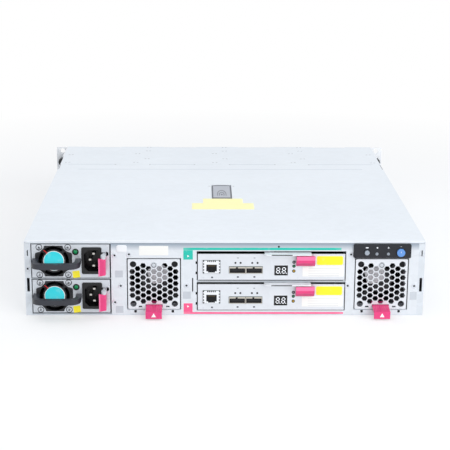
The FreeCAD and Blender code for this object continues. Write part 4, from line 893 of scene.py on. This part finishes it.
for number in (1, 2):
    io = f"io{number}"
    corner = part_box(f"{io}_case")[0]
    left, floor = corner.x / mm, corner.z / mm
    finish_nodes(face_steel, f"{io}_case")
    finish_nodes(lever_steel, f"{io}_ejector_lever")
    finish_nodes(magenta, f"{io}_latch")

    def spot(across, up, depth):
        """A point of the module, in metres."""
        return ((left + across) * mm, rear_y + depth * mm, (floor + up) * mm)

    sockets = [(spot(5, 7, 0.3), spot(26, 24, 18)), (spot(34, 7, -0.2), spot(73, 16, 22)),
               (spot(85, 4, 0.3), spot(111, 24, 7)), (spot(0, 5.1, 250), spot(165, 30, 320))]
    finish_nodes(two_toned(f"{io}_board_finish", moulded((24, 92, 58)),
                           moulded((20, 21, 24), 0.45, 0.05), sockets), f"{io}_board")

    jack = (left + 15.4, floor + 15.15)
    window = (left + 93.4, floor + 11.0)
    springs = [(jack[0] + side * 9.0, jack[1] + up) for side in (-1, 1)
               for up in (-6.6, -3.4, 0.2, 3.6, 6.9)]
    springs += [(jack[0] + step * 2.1, jack[1] + 6.7) for step in (-2, -1, 0, 1, 2)]
    contacts = [(jack[0] + (index - 3.5) * 1.02, jack[1] + 1.5) for index in range(8)]
    marks = [(left + 44.9, floor + 3.3), (left + 63.5, floor + 3.4), (left + 16, floor + 2.8)]
    ticks = [(left + 44.9, floor + 25.6), (left + 63.5, floor + 25.6)]
    rules = [(left + 141.5, floor + 13.2 - 2.7 * step) for step in range(4)]
    flat_parts = [
        # part, material, centres, outline, height, lift, edge
        ("jack_shell", lever_steel, [jack], rounded(9.5, 7.55, 0.6), 0.12, 0.6, 0.05),
        ("jack_springs", shadow_black, springs, rounded(0.75, 0.75, 0.3, 16), 0.04, 0.7, 0.02),
        ("jack_mouth", shadow_black, [jack], plug_mouth, 0.03, 0.7, 0.02),
        ("jack_contacts", pin_gold, contacts, rounded(0.2, 0.8, 0.1, 12), 0.05, 0.7, 0.03),
        ("display_window", window_black, [window], rounded(7.5, 5.8, 0.4), 0.15, -0.2, 0.1),
        ("port_marks", mark_grey, marks, rounded(1.1, 0.9, 0.3), 0.04, 0.0, 0.02),
        ("port_ticks", mark_grey, ticks, rounded(1.0, 0.3, 0.1), 0.04, 0.0, 0.02),
        ("label_rules", rule_grey, rules, rounded(17.5, 0.22, 0.1, 12), 0.03, 0.11, 0.02),
    ]
    for port, x in enumerate((44.4, 63.2), start=1):
        x, z = left + x, floor + 11.4
        flat_parts += [
            (f"port_{port}_rim", shell_nickel, [(x, z)], rounded(9.2, 3.9, 0.5), 0.1, 0.6, 0.05),
            (f"port_{port}_key", shadow_black, [(x - 0.6, z + 2.9)], rounded(1.2, 0.7, 0.2, 16),
             0.05, 0.67, 0.02),
            (f"port_{port}_mouth", shadow_black, [(x, z - 0.5)], rounded(8.7, 2.7, 0.3), 0.04,
             0.67, 0.02),
            (f"port_{port}_tongue", tongue_grey, [(x, z + 0.4)], rounded(7.2, 0.5, 0.2), 0.04,
             0.7, 0.02),
        ]
    for part, material, centres, outline, height, lift, edge in flat_parts:
        plate(f"{io}_{part}", material, centres, outline, height, io, lift=lift, edge=edge)

    for place, offset in (("left", -3.3), ("right", 3.1)):
        for bar, (across, up, half, thick, stands) in enumerate(digit_bars(3.3, 6.4, 0.62)):
            centre = (window[0] + offset + across + up * 0.1, window[1] + up)
            plate(f"{io}_digit_{place}_{bar + 1}", segment_white, [centre],
                  long_hexagon(half, thick), 0.04, io, lift=-0.05,
                  turn=math.pi / 2 - 0.1 if stands else 0.0, edge=0.02)
    turned(f"{io}_digit_dots", segment_white,
           [(window[0] + x, window[1] - 3.3) for x in (-0.5, 5.9)],
           [(0, 0), (0.35, 0), (0.42, -0.04), (0, -0.08)], io)
    for colour, up in (("grey", 20.7), ("green", 16.1), ("amber", 10.3)):
        lamp = [(left + 107.7, floor + up)]
        turned(f"{io}_lamp_seat_{colour}", inlet_black, lamp,
               [(1.05, -0.2), (1.1, 0.25), (1.5, 0.3), (1.85, 0.15), (1.9, 0), (1.05, -0.2)], io)
        turned(f"{io}_lamp_{colour}", lamp_colours[colour], lamp,
               [(0, 0.35), (0.6, 0.3), (1.0, 0.1), (1.05, -0.2), (0, -0.2)], io)
    turned(f"{io}_port_lamps", shadow_black,
           [(left + x, floor + 19.8) for x in (42.1, 47.9, 60.9, 66.9)],
           [(0, 0.1), (1.0, 0.08), (1.15, 0), (0, -0.05)], io)
    turned(f"{io}_face_dimples", pressed_steel, [(left + 6, floor + 2.4), (left + 112, floor + 2.2)],
           [(0, 0.05), (0.5, 0.05), (0.8, 0.12), (1.1, 0), (0, -0.05)], io)

    # A near-black line on the ejector's front edge: painted shade.
    plate(f"{io}_ejector_edge_shade", shadow_black, [(left + 93.7, floor + 31.4)],
          rounded(11.6, 0.5, 0.3), 0.05, f"{io}_ejector", lift=9, edge=0.02)
    latch = f"{io}_latch"
    plate(f"{latch}_brow", pale_magenta, [(middle_of(latch)[0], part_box(latch)[1].z / mm - 2.4)],
          rounded(10.3, 2.2, 0.8), 0.35, f"{io}_catch", lift=reach_of(latch), edge=0.25)
    label(f"{io}_yellow_label", yellow_film,
          (left + 133.0, floor + 17.4, left + 162.8, floor + 27.8), io, 2.0)
    label(f"{io}_white_label", white_film,
          (left + 117.4, floor + 3.9, left + 163.7, floor + 16.6), io, 0.8)

# ---------------------------------------------------------------- status panel
# A dark moulded bezel with two lamps, a small identity button and a blue power button that a
# light pipe shines through.

bezel_grey = dressed("bezel_moulding", moulded((24, 26, 32), 0.46), 0.0, 0.3)
lens_grey = dressed("lens_smoke", moulded((140, 148, 158), 0.14, 0.04), 0.0, 0.03)
cap_grey = dressed("identity_cap", moulded((156, 166, 178), 0.16, 0.04), 0.0, 0.05)
cap_blue = dressed("power_cap", moulded((96, 146, 214), 0.13, 0.12), 0.0, 0.04)
icon_film = film_of("icon_white", (226, 230, 236), rim=0.0)
finish_nodes(bezel_grey, "status_panel")
finish_nodes(lens_grey, "status_lights")
finish_nodes(cap_grey, "unit_id_button")
finish_nodes(cap_blue, "power_button")

bezel_out = reach_of("status_panel")
cap_out = reach_of("power_button")
cap_x, _, cap_z = middle_of("power_button")
turned("power_button_dome", cap_blue, [(cap_x, cap_z)],
       [(0, cap_out - 0.02), (2.2, cap_out - 0.12), (3.4, cap_out - 0.4), (4.2, cap_out - 1.0),
        (4.3, cap_out - 1.6), (0, cap_out - 1.6)], "power_button_cap", count=36)
turned("power_button_ring", bezel_grey, [(cap_x, cap_z)],
       [(4.95, bezel_out - 0.2), (5.0, bezel_out + 0.15), (5.5, bezel_out + 0.3),
        (6.0, bezel_out + 0.15), (6.1, bezel_out - 0.1), (4.95, bezel_out - 0.2)], count=40)
plate("power_icon_bar", icon_film, [(cap_x, cap_z + 0.7)], rounded(0.22, 1.0, 0.1, 12), 0.02,
      "power_button_cap", lift=cap_out, edge=0.01)
for name, place, shape, turn in (
        ("icon_identity", (158.3, 80.3), rounded(1.5, 0.7, 0.3, 16), 0.0),
        ("icon_health", (169.7, 80.3), circle(0.9, 20), 0.0),
        ("icon_fault", (182.2, 80.3), arrow(1.2), math.pi / 2),
        ("icon_power_line", (cap_x, 81.6), rounded(0.8, 0.2, 0.1, 12), 0.0)):
    plate(name, icon_film, [place], shape, 0.04, lift=bezel_out - 0.02, turn=turn, edge=0.02)

# ---------------------------------------------------------------- drives
# Twelve aluminium carriers, each with its disk behind a dark moulded bezel. A paler lever folds
# flat over the bezel, and two lamps and a row of air slots lie beside it.

lever_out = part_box("drive_01")[1].y
bezel_start = lever_out - 15.1 * mm
lever_grey = dressed("lever_grey", moulded((84, 88, 97), 0.4, 0.14), 0.0, 0.25)
for number in range(1, 13):
    drive = f"drive_{number:02d}"
    body = f"{drive}_carrier"
    low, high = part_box(drive)
    pad = 2 * mm
    bezel = ((low.x - pad, bezel_start, low.z - pad), (high.x + pad, lever_out + pad, high.z + pad))
    finish_nodes(two_toned(f"{drive}_finish", plated((172, 177, 184), 0.38, 0.06, 0.2),
                           moulded((44, 46, 52), 0.42, 0.12), [bezel], (0.7, 0.0)), drive)
    left, right, floor = low.x / mm, high.x / mm, low.z / mm
    for part, material, centres, outline, height, lift, edge in (
            ("lever_face", lever_grey, [(left + 33.5, floor + 15.9)], rounded(24, 6.4, 1.5), 0.1,
             -0.01, 0.08),
            ("finger_well", lever_grey, [(left + 77, floor + 16)], rounded(14.8, 5.8, 0.6), 0.3,
             -1.5, 0.2),
            ("air_slots", shadow_black, [(left + 12 + 5.2 * step, floor + 3.6) for step in range(12)],
             rounded(1.9, 1.1, 1.0, 16), 0.05, -3.02, 0.02),
            ("catch", magenta, [(right - 21, floor + 15.9)], rounded(4.5, 4.2, 1.0), 0.9, -1.3,
             0.4)):
        plate(f"{drive}_{part}", material, centres, outline, height, body, on_front, lift,
              edge=edge)
    turned(f"{drive}_lamps", lamp_colours["green"],
           [(right - 10 - 4.5 * step, floor + 3.6) for step in range(2)],
           [(0, -2.6), (0.8, -2.7), (1.2, -3.0), (0, -3.0)], body, on_front)

# ---------------------------------------------------------------- ears and knobs
# Captive thumbscrews with a knurled black head behind each ear fasten the shelf to the rack.


def knurled_finish():
    """Turned black metal with straight knurls."""
    material, tree, shader = surface("knob_black")
    flat = add(tree, "Mapping", Vector=place_of(tree), Scale=(1500, 40, 1500)).outputs[0]
    knurl = add(tree, "TexNoise", Vector=flat, Scale=1.0, Detail=1.0).outputs["Fac"]
    tint = ramp(tree, knurl, (0.35, paint(22, 23, 26)), (0.7, paint(48, 50, 55)))
    tree.links.new(tint, shader.inputs["Base Color"])
    bumped(tree, shader, knurl, 0.5, 0.2)
    shader.inputs["Roughness"].default_value = 0.35
    return material


finish_nodes(knurled_finish(), "rack_knobs")

# ---------------------------------------------------------------- chassis sides
# Shouldered studs for the rack rails and rows of spot-weld dimples along the folded edges.

studs = [(back, 43.5) for back in (60, 200, 340)]
welds = [(back, up) for back in range(30, 440, 45) for up in (7, 78)]
for sign, name in ((-1, "left"), (1, "right")):
    turned(f"rail_studs_{name}", screw_steel, studs,
           [(0, 0.1), (1.6, 0.1), (1.7, 0.4), (3.2, 0.4), (3.4, 0.25), (3.5, 0), (0, -0.1)],
           lay=on_side(sign))
    turned(f"weld_dimples_{name}", pressed_steel, welds,
           [(0, 0.02), (1.2, 0.03), (1.9, 0.14), (2.6, 0), (0, -0.1)], lay=on_side(sign))

# ---------------------------------------------------------------- boards inside
# Green glass-fibre boards carry the sockets for the drives, the modules and the supplies, and
# bare copper bars join two of them.


def board_finish(name, colour):
    """Green lacquer over faint copper tracks that run along the board."""
    material, tree, shader = surface(name)
    grid = add(tree, "Mapping", Vector=place_of(tree), Scale=(420, 420, 420)).outputs[0]
    tracks = add(tree, "TexBrick", Vector=grid, Color1=colour, Scale=1.0,
                 Color2=tuple(0.8 * c for c in colour[:3]) + (1,),
                 Mortar=tuple(min(1, 1.7 * c) for c in colour[:3]) + (1,), Mortar_Size=0.06)
    tree.links.new(tracks.outputs["Color"], shader.inputs["Base Color"])
    shader.inputs["Roughness"].default_value = 0.32
    bumped(tree, shader, tracks.outputs["Fac"], 0.2, 0.05)
    return material


finish_nodes(board_finish("board_green", paint(22, 96, 58)), "midplane_board", "power_board")
finish_nodes(dressed("socket_black", moulded((28, 29, 32), 0.42)), "midplane_connectors")
finish_nodes(dressed("bar_copper", plated((206, 132, 92), 0.28, 0.03, 0.2), 1.0, 0.15), "bus_bars")
